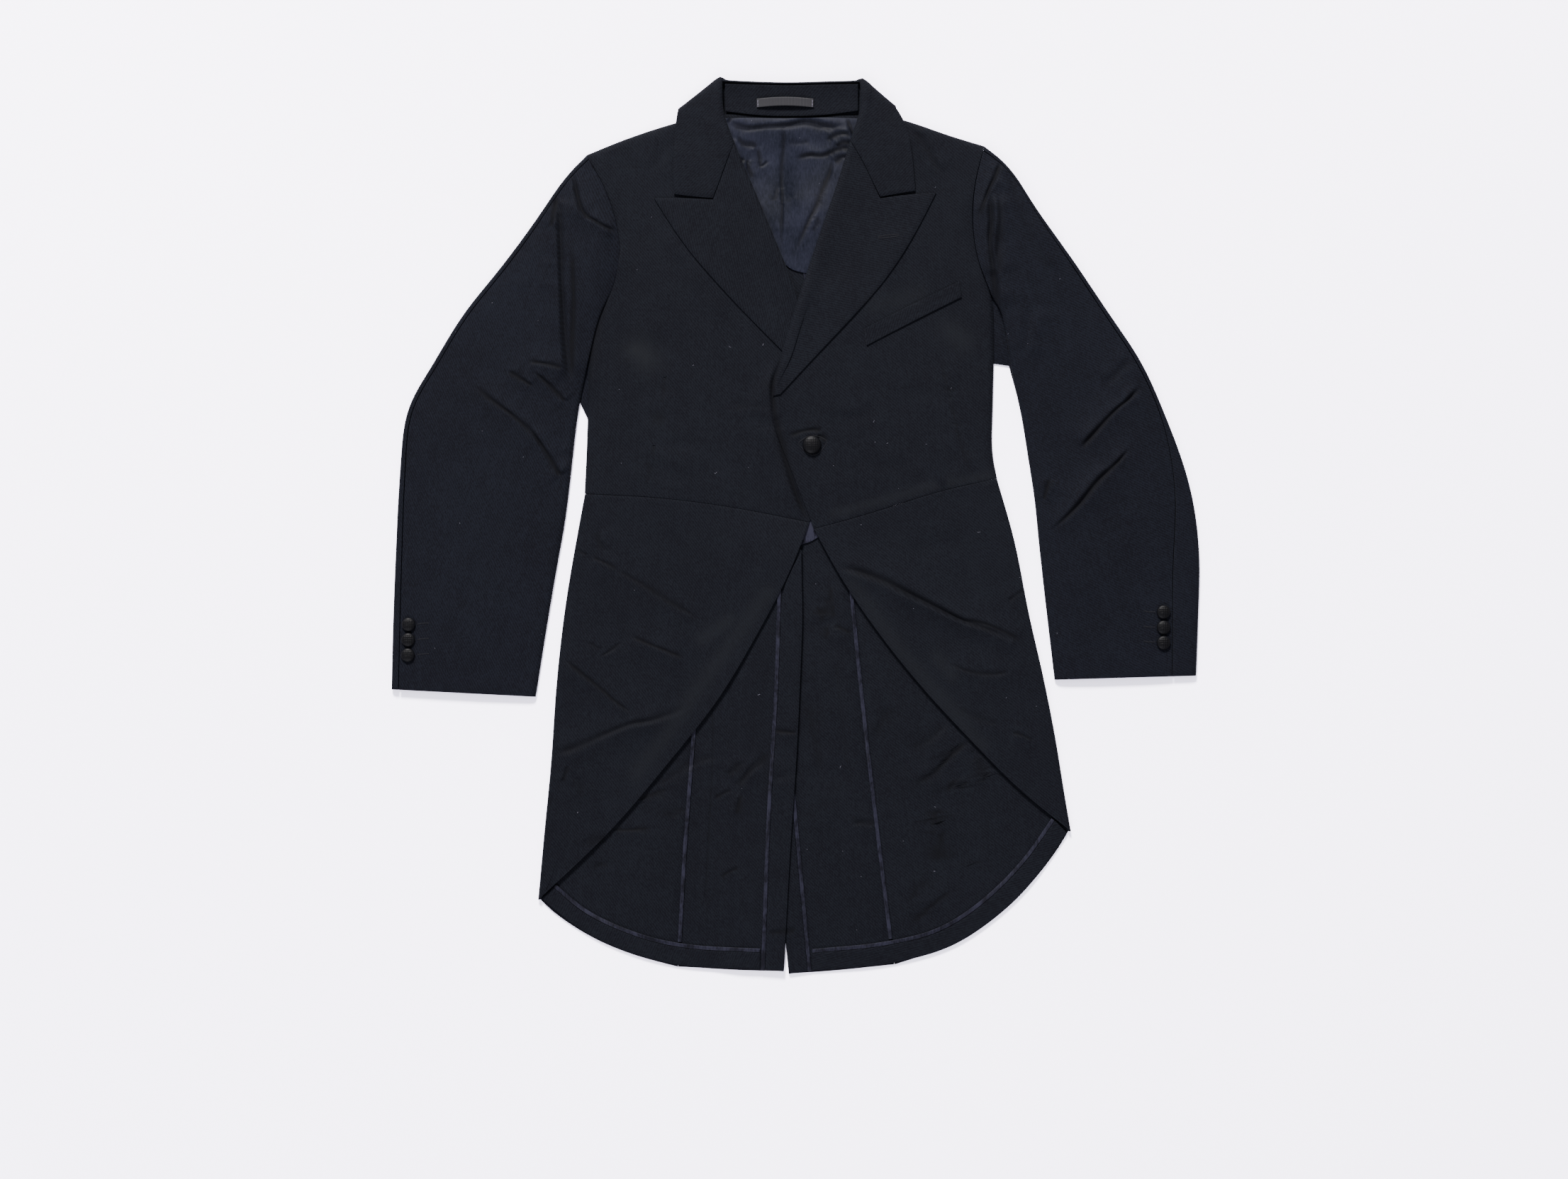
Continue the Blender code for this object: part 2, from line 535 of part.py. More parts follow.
def make_backs(cloth):
    """Right and left backs from the neck to the hem, with side bodies beside them."""
    across = np.array([0, 0.14, 0.3, 0.5, 0.75, 1])
    outer = chain(([(-220.2, 390.9), (-219.6, 372)], 1), ([(-219.6, 372), (-218.6, 340)], 1),
                  ([(-218.6, 340), (-217, 306)], 1), (RIGHT_BACK_SEAM, 8), (RIGHT_TAIL_SEAM, 12))
    inner = chain(([(-10, 431.3), (-10, 411)], 1), ([(-10, 411), (-10, 388)], 1),
                  (CENTRE_SEAM, 9), (RIGHT_VENT, 2), (RIGHT_VENT_EDGE, 10))
    grid = patch(inner, outer, across, trace([RIGHT_NECK, RIGHT_SHOULDER], across),
                 trace(RIGHT_BACK_HEM, across), first_fade=0.3)
    wall("back_right", raised(inset(grid), right_back_height)[:, ::-1], CLOTH, cloth)
    across = np.array([0, 0.2, 0.45, 0.7, 1])
    outer = chain(([(198.4, 400.6), (199.2, 380)], 1), ([(199.2, 380), (201.6, 345)], 1),
                  ([(201.6, 345), (204, 306)], 1), (LEFT_BACK_SEAM, 8), (LEFT_TAIL_SEAM, 12))
    inner = chain(([(-10, 431.3), (-10, 411)], 1), ([(-10, 411), (-10, 388)], 1),
                  (LEFT_CENTRE_SEAM, 9), (LEFT_VENT, 2), (LEFT_VENT_EDGE, 10))
    grid = patch(inner, outer, across, trace([LEFT_NECK, LEFT_SHOULDER], across),
                 trace(LEFT_BACK_HEM, across), first_fade=0.3)
    wall("back_left", raised(inset(grid), left_back_height), CLOTH, cloth)
    down = even(8)
    across = even(2)
    seam = trace(RIGHT_BACK_SEAM, down)
    side = trace([[(-218.5, 301), (-218.2, 240)], [(-218.2, 240), (-218, 170), (-218.4, 111.4),
                  (-220.2, 65.9), (-222, 33.4)]], down)
    grid = patch(seam, side, across)
    wall("side_body_right", raised(inset(grid), left_back_height)[:, ::-1], CLOTH, cloth)
    seam = trace(LEFT_BACK_SEAM, down)
    side = trace([[(205.0, 301), (207, 244)], [(207, 244), (208, 150), (206.5, 76), (211.5, 50)]],
                 down)
    grid = patch(seam, side, across)
    wall("side_body_left", raised(inset(grid), left_back_height), CLOTH, cloth)


def make_foreparts(cloth):
    """Right and left fronts down to the waist seam, turned down at the shoulder and side."""
    down = np.concatenate([[0, 0.004, 0.014], np.linspace(0.045, 1, 18)])
    across = np.array([0, 0.04, 0.12, 0.24, 0.4, 0.56, 0.72, 0.86, 0.955, 0.988, 1])
    sides = (
        ("forepart_right", [RIGHT_ROLL, RIGHT_EDGE], [RIGHT_ARMHOLE, RIGHT_UNDERARM, RIGHT_SIDE],
         RIGHT_SHOULDER, RIGHT_WAIST, right_front_height, 262),
        ("forepart_left", [LEFT_ROLL, LEFT_EDGE], [LEFT_ARMHOLE, LEFT_SIDE],
         LEFT_SHOULDER, LEFT_WAIST, left_front_height, 262),
    )
    for name, inner, outer, shoulder, waist, height, underarm in sides:
        outer_line = trace(outer, down)
        grid = patch(trace(inner, down), outer_line, across, trace(shoulder, across),
                     trace(waist, across), down=down)
        shaped = raised(inset(grid, far=SEAM + 0.1), height)
        below = ramp(outer_line[:, 1], underarm, underarm - 24)
        shaped = curl(shaped, "far", BODY_CURL, EDGE_REST, below)
        neck = over_collar(shaped[0, :, 0], 425.0)
        shaped = curl(shaped, "first", BODY_CURL, EDGE_REST + 0.3 + neck)
        if name.endswith("right"):
            shaped = shaped[:, ::-1]
        wall(name, shaped, CLOTH, cloth)


def make_skirts(cloth):
    """Each skirt is one cloth: front layer, round the side fold, back layer to the seam."""
    sides = (
        ("skirt_right", RIGHT_SKIRT, RIGHT_WAIST, RIGHT_TAIL_SEAM, RIGHT_HEM,
         right_front_height, SKIRT_FOLDS_RIGHT),
        ("skirt_left", LEFT_SKIRT, LEFT_WAIST, LEFT_TAIL_SEAM, LEFT_HEM,
         left_front_height, SKIRT_FOLDS_LEFT),
    )
    down = even(17)
    over = np.array([0, 0.06, 0.18, 0.32, 0.46, 0.6, 0.74, 0.87, 1])
    under = np.array([0, 0.12, 0.4, 0.7, 1])
    for name, table, waist, seam, hem, height, fold_table in sides:
        front = trace([[s.front for s in table]], down)
        side = trace([[s.side for s in table]], down)
        out = unit(side - front)
        out[:, 1] *= 0.3
        out = unit(out)
        inner_side = side - out * (SKIRT_TURN + CLOTH / 2)
        waist_line = trace(waist, over)
        waist_line[-1] = inner_side[0]
        grid = patch(front, inner_side, over, first=waist_line)
        top = raised(grid, height, fold_table)
        back_waist = trace([tuple(inner_side[0]), seam[0]], under)
        hem_line = trace(hem, under)
        hem_line[0] = inner_side[-1]
        grid = patch(inner_side, trace(seam, down), under, first=back_waist, last=hem_line)
        bottom = raised(grid, left_back_height)
        half = (top[:, -1, 2] - bottom[:, 0, 2]) / 2
        middle = (top[:, -1, 2] + bottom[:, 0, 2]) / 2
        turn = []
        for angle in (45, 90, 135):
            sine, cosine = math.sin(math.radians(angle)), math.cos(math.radians(angle))
            place = inner_side + out * SKIRT_TURN * sine
            turn.append(np.column_stack([place, middle + half * cosine]))
        grid = np.concatenate([top, np.stack(turn, axis=1), bottom], axis=1)
        grid = inset(grid, near=0, first=SEAM, last=0)
        if name.endswith("right"):
            grid = grid[:, ::-1]
        wall(name, grid, CLOTH, cloth)


def make_lapels(cloth):
    """Peaked lapels, each with a soft roll along the front and a point at the gorge."""
    sides = (
        ("lapel_right", RIGHT_ROLL, RIGHT_LAPEL_EDGE, [RIGHT_GORGE, RIGHT_LAPEL_TOP],
         right_front_height, 0.53, 0.62),
        ("lapel_left", LEFT_ROLL, LEFT_LAPEL_EDGE, [LEFT_GORGE, LEFT_LAPEL_TOP],
         left_front_height, 0.8, 0.97),
    )
    for name, roll, edge, top, height, low, end in sides:
        roll_line = trace(roll, np.linspace(*LAPEL_SHARE, 15))
        edge_line = trace(edge, even(14))
        grid = rolled(roll_line, edge_line, chain((top[0], 3), (top[1], 2)), height, low, end)
        grid = inset(grid, near=0, far=0, first=0.3, last=0)
        if name.endswith("right"):
            grid = grid[:, ::-1]
        wall(name, grid, CLOTH, cloth)


def make_collar(cloth, tape):
    """Fall that turns under at the neck, the stand inside it, and the loop on the stand."""
    lines = smooth_points([[*s.roll, *s.outer, s.turn] for s in COLLAR], 2)
    roll, edge, turn = lines[:, :3], lines[:, 3:5], np.radians(lines[:, 5])
    for line, height, side in ((RIGHT_ROLL, right_front_height, -1), (LEFT_ROLL, left_front_height, 1)):
        curve = trace(line, even(60))[::-1]
        flat = (1 - ramp(turn, 0.0, 0.25)) * (roll[:, 0] * side > 0)
        x = np.interp(roll[:, 1], curve[:, 1], curve[:, 0])
        roll[:, 0] += (x - roll[:, 0]) * flat
        roll[:, 2] += (height(roll[:, 0], roll[:, 1]) - roll[:, 2]) * flat
    roll[0, :2] = trace(RIGHT_ROLL, LAPEL_SHARE)[0]
    roll[-1, :2] = trace(LEFT_ROLL, LAPEL_SHARE)[0]
    first = chain((RIGHT_GORGE, 3), (RIGHT_COLLAR_END, 2))
    last = chain((LEFT_GORGE, 3), (LEFT_COLLAR_END, 2))
    across = shares(first)
    first[0], last[0] = roll[0, :2], roll[-1, :2]
    plan = patch(roll[:, :2], edge, across, first, last, first_fade=0.16, last_fade=0.16)
    out = unit(plan[:, 1] - plan[:, 0])
    aside = np.stack([-out[:, 1], out[:, 0]], axis=1)
    centre = roll[:, :2] - np.array([-7.5, 380.0])
    aside *= np.sign(np.sum(aside * centre, axis=1))[:, None]
    columns = []
    profile = list(ROLL) + [(None, 2.9), (None, 2.3), (None, 1.8), (None, LAYER), (None, LAYER)]
    for k, (distance, rise) in enumerate(profile):
        if distance is None:
            base = plan[:, k - len(ROLL) + 1]
        else:
            base = roll[:, :2] + out * distance
        lift = rise + (BACK_FALL[k] - rise) * ramp(turn, 0.4, 2.7)
        place = base + aside * (lift * np.sin(turn))[:, None]
        z = roll[:, 2] + lift * np.cos(turn)
        columns.append(np.column_stack([place, z]))
    grid = np.stack(columns, axis=1)
    grid = inset(grid, near=0, far=0, first=0.3, last=0.3)
    wall("collar_fall", grid, CLOTH, cloth)
    make_stand(cloth, tape)


def make_stand(cloth, tape):
    """Stand at the back of the neck, and the hanger loop sewn on it."""
    along = even(14)
    across = np.array([0, 0.25, 0.5, 0.75, 1])
    seam = trace(STAND_SEAM, along)
    fold = trace(STAND_FOLD, along)
    grid = seam[:, None] * (1 - across)[None, :, None] + fold[:, None] * across[None, :, None]
    grid[..., 2] -= STAND_HOLLOW * np.sin(np.pi * across)[None, :]
    wall("collar_stand", grid, CLOTH, cloth)
    share = even(12)
    x = LOOP_SPAN[0] + (LOOP_SPAN[1] - LOOP_SPAN[0]) * share
    arch = np.sin(np.pi * share)
    low, high = STAND_SEAM[2], STAND_FOLD[2]
    grid = []
    for side in (-0.5, 0, 0.5):
        y = LOOP_MIDDLE + LOOP_WIDTH * side + 1.6 * arch
        up = (y - low[1]) / (high[1] - low[1])
        z = low[2] + (high[2] - low[2]) * up - STAND_HOLLOW * np.sin(np.pi * up)
        grid.append(np.column_stack([x, y, z + LAYER - 0.1 + LOOP_RISE * arch ** 0.7]))
    wall("hanger_loop", np.stack(grid, axis=1), SATIN, tape)


def sleeve_lines(table, down):
    """Outer edge, inner edge, lap width, rise and edge height along a sleeve."""
    rows = np.array([[*s.outer, *s.inner, s.seam * 2, s.puff * 5, s.edge * 5] for s in table])
    lines = trace([[tuple(row) for row in rows]], down)
    return lines[:, :2], lines[:, 2:4], lines[:, 4] / 2, lines[:, 5] / 5, lines[:, 6] / 5


def make_sleeves(cloth):
    """Upper sleeve over an under sleeve, which laps round the outer edge to its seam."""
    sides = (
        ("right", RIGHT_SLEEVE, RIGHT_ARMHOLE, SLEEVE_FOLDS_RIGHT, RIGHT_UNDER_SLEEVE),
        ("left", LEFT_SLEEVE, LEFT_ARMHOLE, SLEEVE_FOLDS_LEFT, LEFT_UNDER_SLEEVE),
    )
    down = even(25)
    over = np.array([0, 0.04, 0.12, 0.24, 0.38, 0.52, 0.66, 0.8, 0.91, 0.97, 0.99, 1])
    cap = (SLEEVE_SEAM - SLEEVE_TOP) * ramp(down, 0.34, 0.12)
    for side, table, armhole, fold_table, under_inner in sides:
        outer, inner, lap, puff, edge = sleeve_lines(table, down)
        into = unit(inner - outer)
        into[0] = unit(np.array(armhole[1], float) - outer[0])
        seam = outer + into * (lap + SLEEVE_TURN)[:, None]
        length = np.linalg.norm(np.diff(trace(armhole, even(40)), axis=0), axis=1).sum()
        start = (lap[0] + SLEEVE_TURN) / length
        armhole_line = trace(armhole, start + (1 - start) * over)
        armhole_line[0] = seam[0]
        grid = patch(seam, inner, over, first=armhole_line, first_fade=0.5)
        grid = inset(grid, near=SEAM + 0.35, far=0, first=0.5, last=0)
        x, y = grid[..., 0], grid[..., 1]
        swell = np.sin(np.pi * np.clip(over, 0.0, 0.97)) ** 0.8
        z = SLEEVE_TOP + cap[:, None] + puff[:, None] * swell[None, :] + folds(x, y, fold_table)
        z[0] = SLEEVE_SEAM
        top = curl(np.stack([x, y, z], axis=2), "far", SLEEVE_CURL, edge)
        if side == "right":
            top = top[:, ::-1]
        wall("top_sleeve_" + side, top, CLOTH, cloth)
        under = even(3)
        rim = outer + into * (SLEEVE_TURN + CLOTH / 2)
        inner_line = chain(*under_inner)
        floor = patch(rim, inner_line, under, first=trace(
            [tuple(rim[0]), tuple(inner_line[0])], under))
        floor = inset(floor, near=0, far=SEAM, first=SEAM + 0.2, last=0)
        floor = np.concatenate([floor, np.full((*floor.shape[:2], 1), FLOOR_LAYER)], axis=2)
        lap_top = SLEEVE_TOP + cap
        half = (lap_top - FLOOR_LAYER) / 2
        middle = (lap_top + FLOOR_LAYER) / 2
        end = seam - into * SEAM * 2
        columns = [np.column_stack([end, lap_top]),
                   np.column_stack([rim * 0.7 + end * 0.3, lap_top])]
        for angle in (35, 90, 145):
            sine, cosine = math.sin(math.radians(angle)), math.cos(math.radians(angle))
            columns.append(np.column_stack([rim - into * SLEEVE_TURN * sine, middle + half * cosine]))
        grid = np.concatenate([np.stack(columns, axis=1), floor], axis=1)
        if side == "right":
            grid = grid[:, ::-1]
        wall("under_sleeve_" + side, grid, CLOTH, cloth)


def layer_above(height):
    """Height function for cloth that lies one layer above another."""
    def above(x, y):
        return height(x, y) + LAYER
    return above


def strip(name, line, width, height, material, parts, thickness=SATIN):
    """A narrow satin strip along a line, slightly domed."""
    middle = trace(line, even(parts))
    left, right = offset(middle, width / 2), offset(middle, -width / 2)
    grid = raised(np.stack([left, middle, right], axis=1), height)
    grid[:, 1, 2] += 0.3
    wall(name, grid, thickness, material)


def make_tail_insides(cloth, satin):
    """Facings turned in at the vent and the hem, and the satin bindings of their edges."""
    on_right = layer_above(right_back_height)
    on_left = layer_above(left_back_height)
    down = even(14)
    across = even(1)
    edge = offset(trace(RIGHT_VENT_EDGE, down), -0.6)
    binding = offset(trace(VENT_BINDING_RIGHT, down), BINDING_WIDTH / 2 + SEAM * 2)
    grid = patch(binding, edge, across)
    wall("vent_facing_right", raised(grid, on_right), CLOTH, cloth)
    edge = offset(trace(LEFT_VENT_EDGE, down), 0.6)
    binding = offset(trace(VENT_BINDING_LEFT, down), -BINDING_WIDTH / 2 - SEAM * 2)
    grid = patch(edge, binding, across)
    wall("vent_facing_left", raised(grid, on_left), CLOTH, cloth)
    strip("vent_binding_right", VENT_BINDING_RIGHT, BINDING_WIDTH, on_right, satin, 12)
    strip("vent_binding_left", VENT_BINDING_LEFT, BINDING_WIDTH, on_left, satin, 13)
    strip("seam_binding_right", SEAM_BINDING_RIGHT, BINDING_WIDTH, on_right, satin, 12)
    strip("seam_binding_left", SEAM_BINDING_LEFT, BINDING_WIDTH, on_left, satin, 12)
    strip("hem_binding_right", HEM_BINDING_RIGHT, BINDING_WIDTH, on_right, satin, 12)
    strip("hem_binding_left", HEM_BINDING_LEFT, BINDING_WIDTH, on_left, satin, 13)
    down = even(16)
    upper = offset(trace(HEM_BINDING_RIGHT, down), -BINDING_WIDTH / 2 - SEAM * 2)
    grid = raised(patch(upper, trace(HEM_FACING_RIGHT, down), across), on_right)
    grid[..., 2] += HEM_STEP * np.exp(-((grid[..., 0] - HEM_STEP_AT) / HEM_STEP_WIDTH) ** 2)
    wall("hem_facing_right", grid[:, ::-1], CLOTH, cloth)
    upper = offset(trace(HEM_BINDING_LEFT, down), BINDING_WIDTH / 2 + SEAM * 2)
    grid = patch(upper, trace(HEM_FACING_LEFT, down), across)
    wall("hem_facing_left", raised(grid, on_left), CLOTH, cloth)


def make_linings(satin):
    """Satin seen in the open neck, and the corner seen under the crossed fronts."""
    down = even(12)
    across = even(9)
    grid = patch(trace(LINING_RIGHT, down), trace(LINING_LEFT, down), across,
                 trace(LINING_NECK, across), trace(LINING_HEM, across))
    grid = raised(grid, layer_above(left_back_height), LINING_FOLDS)
    wall("back_lining", grid, SATIN, satin)
    down = even(4)
    across = even(5)
    top = trace(WAIST_LINING_TOP, across)
    hem = trace(WAIST_LINING_HEM, across)
    grid = top[None] * (1 - down)[:, None, None] + hem[None] * down[:, None, None]
    wall("waist_lining", raised(grid, layer_above(left_back_height)), SATIN, satin)


def make_welt(cloth):
    """Slanted breast welt, laid on the left front."""
    along = even(8)
    low, top = trace(WELT_LOW, along), trace(WELT_TOP, along)
    grid = patch(low, top, even(2))
    grid = raised(grid, layer_above(left_front_height))
    wall("breast_welt", grid, CLOTH, cloth)


def button(name, centre, base, diameter, height, material):
    """A covered button: a flat back, a rounded rim and a shallow dome."""
    profile = [(0.86, 0.0), (1.0, 0.22), (0.96, 0.5), (0.72, 0.8), (0.38, 0.96)]
    sides = 12
    points = []
    for share, rise in profile:
        for k in range(sides):
            angle = 2 * math.pi * k / sides
            radius = diameter / 2 * share
            points.append((centre[0] + radius * math.cos(angle),
                           centre[1] + radius * math.sin(angle), base + height * rise))
    faces = []
    for ring in range(len(profile) - 1):
        for k in range(sides):
            a, b = ring * sides + k, ring * sides + (k + 1) % sides
            faces.append([a, b, b + sides, a + sides])
    top = len(points)
    points.append((*centre, base + height))
    last = (len(profile) - 1) * sides
    for k in range(sides):
        faces.append([last + k, last + (k + 1) % sides, top])
    faces.append(list(reversed(range(sides))))
    solid(name, points, faces, material)


def make_buttons(satin):
    """One button on the front and three at each cuff."""
    button("front_button", (17.2, 85.2), left_front_height(17.2, 85.2) + LAYER / 2 + 0.3,
           FRONT_BUTTON, 6.0, satin)
    cuffs = (("right", (-408.5, -104.5), (-0.4, -1.0), 6.2), ("left", (388.4, -91.4), (0.0, -1.0), 6.6))
    for side, first, run, base in cuffs:
        for k in range(3):
            centre = (first[0] + run[0] * k, first[1] + run[1] * k * CUFF_BUTTON_PITCH)
            button("cuff_button_%s_%d" % (side, k + 1), centre, base, CUFF_BUTTON, 4.5, satin)


def main():
    clear()
    cloth = paint("black worsted", "16181D", 0.85)
    satin = paint("navy satin", "1E2434", 0.45)
    tape = paint("grey woven tape", "4A4B55", 0.8)
    make_backs(cloth)
    make_foreparts(cloth)
    make_skirts(cloth)
    make_lapels(cloth)
    make_collar(cloth, tape)
    make_sleeves(cloth)
    make_tail_insides(cloth, satin)
    make_linings(satin)
    make_welt(cloth)
    make_buttons(satin)


main()
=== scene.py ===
import math
from collections import namedtuple

import bmesh
import bpy
import numpy as np
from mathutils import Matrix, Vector


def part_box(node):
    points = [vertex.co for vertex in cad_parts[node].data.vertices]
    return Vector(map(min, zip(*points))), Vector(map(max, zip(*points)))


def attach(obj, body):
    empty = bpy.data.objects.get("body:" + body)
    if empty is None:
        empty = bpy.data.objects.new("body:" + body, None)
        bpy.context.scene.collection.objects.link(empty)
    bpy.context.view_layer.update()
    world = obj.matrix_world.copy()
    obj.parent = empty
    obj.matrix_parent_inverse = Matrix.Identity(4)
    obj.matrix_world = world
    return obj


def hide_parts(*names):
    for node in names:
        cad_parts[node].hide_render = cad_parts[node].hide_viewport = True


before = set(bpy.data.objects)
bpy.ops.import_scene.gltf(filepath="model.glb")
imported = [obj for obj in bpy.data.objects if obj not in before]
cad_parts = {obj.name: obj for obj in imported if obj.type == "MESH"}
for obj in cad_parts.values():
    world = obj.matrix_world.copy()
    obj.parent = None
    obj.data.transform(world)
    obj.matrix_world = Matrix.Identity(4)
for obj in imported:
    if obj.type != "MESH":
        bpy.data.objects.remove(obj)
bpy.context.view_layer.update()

# ---- Table, light and camera ----
# The coat lies face up on a pale lilac-grey paper table. The main light stands beyond
# the collar, a little to the left, and the camera looks straight down.


def linear(code):
    """The linear colour of an sRGB hex value such as "#1b1d22"."""
    parts = [int(code[place : place + 2], 16) / 255 for place in (1, 3, 5)]
    return [c / 12.92 if c <= 0.04045 else ((c + 0.055) / 1.055) ** 2.4 for c in parts] + [1]


def add_node(tree, kind, values=None, feeds=None, **settings):
    """Adds one node, sets its sockets to values and links its other sockets to feeds."""
    made = tree.nodes.new("ShaderNode" + kind)
    for name, value in settings.items():
        setattr(made, name, value)
    for socket, value in (values or {}).items():
        made.inputs[socket].default_value = value
    for socket, output in (feeds or {}).items():
        tree.links.new(output, made.inputs[socket])
    return made


def new_material(name, **surface):
    """An empty material with one Principled surface; its uniform sockets are set here."""
    material = bpy.data.materials.new(name)
    material.use_nodes = True
    tree = material.node_tree
    shader = tree.nodes["Principled BSDF"]
    for socket, value in surface.items():
        shader.inputs[socket.replace("_", " ")].default_value = value
    return material, tree, shader


TABLE_SIZE = 9.0

bpy.ops.object.select_all(action="DESELECT")
bpy.ops.mesh.primitive_plane_add(size=TABLE_SIZE, location=(0, 0, -0.0004))
table_top = bpy.context.object
table_top.name = "table_top"

# Matt seamless backdrop paper: evenly pale, with the faintest cloudy unevenness.
table_paper, tree, shader = new_material("backdrop_paper", Roughness=0.9)
shader.inputs["Specular IOR Level"].default_value = 0.2
place = add_node(tree, "TexCoord")
cloud = add_node(tree, "TexNoise", {"Scale": 1.1, "Detail": 2.0}, {"Vector": place.outputs["Object"]})
tint = add_node(tree, "Mix", {"A": linear("#dedaea"), "B": linear("#e9e5f3")},
                {"Factor": cloud.outputs["Fac"]}, data_type="RGBA")
tree.links.new(tint.outputs["Result"], shader.inputs["Base Color"])
table_top.data.materials.append(table_paper)

CAMERA_HEIGHT = 3.0
CAMERA_CENTRE = (-0.0122, -0.06765)
VIEW_WIDTH = 1.659

camera_data = bpy.data.cameras.new("overhead")
camera_data.sensor_width = 36
camera_data.lens = 36 * CAMERA_HEIGHT / VIEW_WIDTH
camera = bpy.data.objects.new("overhead", camera_data)
camera.location = (*CAMERA_CENTRE, CAMERA_HEIGHT)
bpy.context.collection.objects.link(camera)
bpy.context.scene.camera = camera

Lamp = namedtuple("Lamp", "name place target size power colour")
LAMPS = [
    Lamp("window_above", (-1.2, 5.6, 4.1), (0, 0, 0), 1.5, 4450, "#fffcfb"),
    Lamp("fill_below", (-1.2, -4.0, 3.0), (0, 0, 0), 2.6, 560, "#f4f3ff"),
]
for lamp in LAMPS:
    data = bpy.data.lights.new(lamp.name, "AREA")
    data.shape, data.size, data.energy = "SQUARE", lamp.size, lamp.power
    data.color = linear(lamp.colour)[:3]
    light = bpy.data.objects.new(lamp.name, data)
    light.location = lamp.place
    light.rotation_euler = (Vector(lamp.target) - Vector(lamp.place)).to_track_quat("-Z", "Y").to_euler()
    bpy.context.collection.objects.link(light)
world = bpy.data.worlds.new("studio")
world.use_nodes = True
world.node_tree.nodes["Background"].inputs["Color"].default_value = linear("#f1f0f6")
world.node_tree.nodes["Background"].inputs["Strength"].default_value = 2.2
bpy.context.scene.world = world

# ---- Backs and side bodies ----
# Two back panels from neck to hem and two side bodies under the arms, cut from black
# worsted suiting with a blue cast. They lie on the table with their wrong side up.

MM = 0.001
RIM_ANGLE = math.radians(58)
CORNER_ANGLE = math.radians(28)
SHARP_ANGLE = math.radians(50)
TURNED_EDGE = 0.0004
SHARP_WIDTH = 4.5
RELIEF = 3.6
FINE = 0.0011
WALL = 0.0035

Crease = namedtuple("Crease", "path width depth lean")
Band = namedtuple("Band", "path width amount")
Pull = namedtuple("Pull", "nodes place reach shift")
PULLS = [  # where two pieces are drawn together by their seam
    Pull(("top_sleeve_left", "under_sleeve_left"), (202, 397), 10, (-1.0, 0.4)),
    Pull(("top_sleeve_right", "under_sleeve_right"), (-223, 388), 10, (1.1, 0.3)),
    Pull(("top_sleeve_left", "under_sleeve_left"), (209, 239), 16, (-1.8, 0.0)),
]
PRESSED = [  # paler where the iron or a brush has polished the nap
    Band([(-30, -72), (-80, -140), (-132, -214), (-168, -262)], 9, 0.35),
    Band([(62, -62), (104, -124), (150, -178), (196, -232)], 9, 0.35),
    Band([(-98, -120), (-70, -100)], 8, 0.4),
    Band([(150, -140), (165, -158)], 8, 0.35),
    Band([(-166, 186), (-158, 176)], 14, 0.6),
    Band([(162, 206), (176, 196)], 12, 0.4),
    Band([(83, 232), (130, 244)], 10, 0.3),
    Band([(40, 12), (140, 40), (220, 56)], 5, 0.35),
]


def cut_cloth(node, levels):
    """Welds a copy of a panel's solid, and fairs it fine enough to take creases.
    Its rims stay sharp: edges between face and rim, and the short corners of the rim."""
    panel = bpy.data.objects.new(node + "_cloth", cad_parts[node].data.copy())
    panel.data.materials.clear()
    bpy.context.collection.objects.link(panel)
    cloth = bmesh.new()
    cloth.from_mesh(panel.data)
    bmesh.ops.remove_doubles(cloth, verts=cloth.verts, dist=0.02 * MM)
    bmesh.ops.join_triangles(cloth, faces=cloth.faces, angle_face_threshold=0.3,
                             angle_shape_threshold=1.0)
    crease = cloth.edges.layers.float.new("crease_edge")
    for edge in cloth.edges:
        corner = edge.calc_length() < WALL
        if edge.calc_face_angle(0) > (CORNER_ANGLE if corner else RIM_ANGLE):
            edge[crease] = 1
    cloth.to_mesh(panel.data)
    cloth.free()
    bpy.ops.object.select_all(action="DESELECT")
    bpy.context.view_layer.objects.active = panel
    panel.select_set(True)
    fair = panel.modifiers.new("fair", "SUBSURF")
    fair.levels = fair.render_levels = levels
    bpy.ops.object.modifier_apply(modifier=fair.name)
    for layer in ("crease_edge", "crease_vert"):
        if layer in panel.data.attributes:
            panel.data.attributes.remove(panel.data.attributes[layer])
    turned = panel.modifiers.new("turned_edge", "BEVEL")
    turned.width, turned.segments = TURNED_EDGE, 2
    turned.limit_method, turned.angle_limit = "ANGLE", RIM_ANGLE
    bpy.ops.object.modifier_apply(modifier=turned.name)
    low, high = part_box(node)
    for vertex in panel.data.vertices:
        vertex.co.z = min(max(vertex.co.z, low[2]), high[2])
    return panel


def refine(panel, creases):
    """Cuts the cloth finer along its sharp creases, so that they come out crisp."""
    cloth = bmesh.new()
    cloth.from_mesh(panel.data)
    for spread in (1.0, 0.6):
        near = set()
        edges = list(cloth.edges)
        middle = np.array([((e.verts[0].co + e.verts[1].co) / 2)[:2] for e in edges]) / MM
        for crease in creases:
            if crease.width > SHARP_WIDTH:
                continue
            line, reach = bend(crease.path), spread * (1.8 * crease.width + 1)
            low, high = line.min(0) - reach, line.max(0) + reach
            inside = np.nonzero(((middle > low) & (middle < high)).all(1))[0]
            if len(inside):
                near.update(inside[nearest(middle[inside], line)[0] < reach].tolist())
        long_ones = [edges[k] for k in near if edges[k].calc_length() > FINE]
        bmesh.ops.subdivide_edges(cloth, edges=long_ones, cuts=1, use_grid_fill=True)
    cloth.to_mesh(panel.data)
    cloth.free()


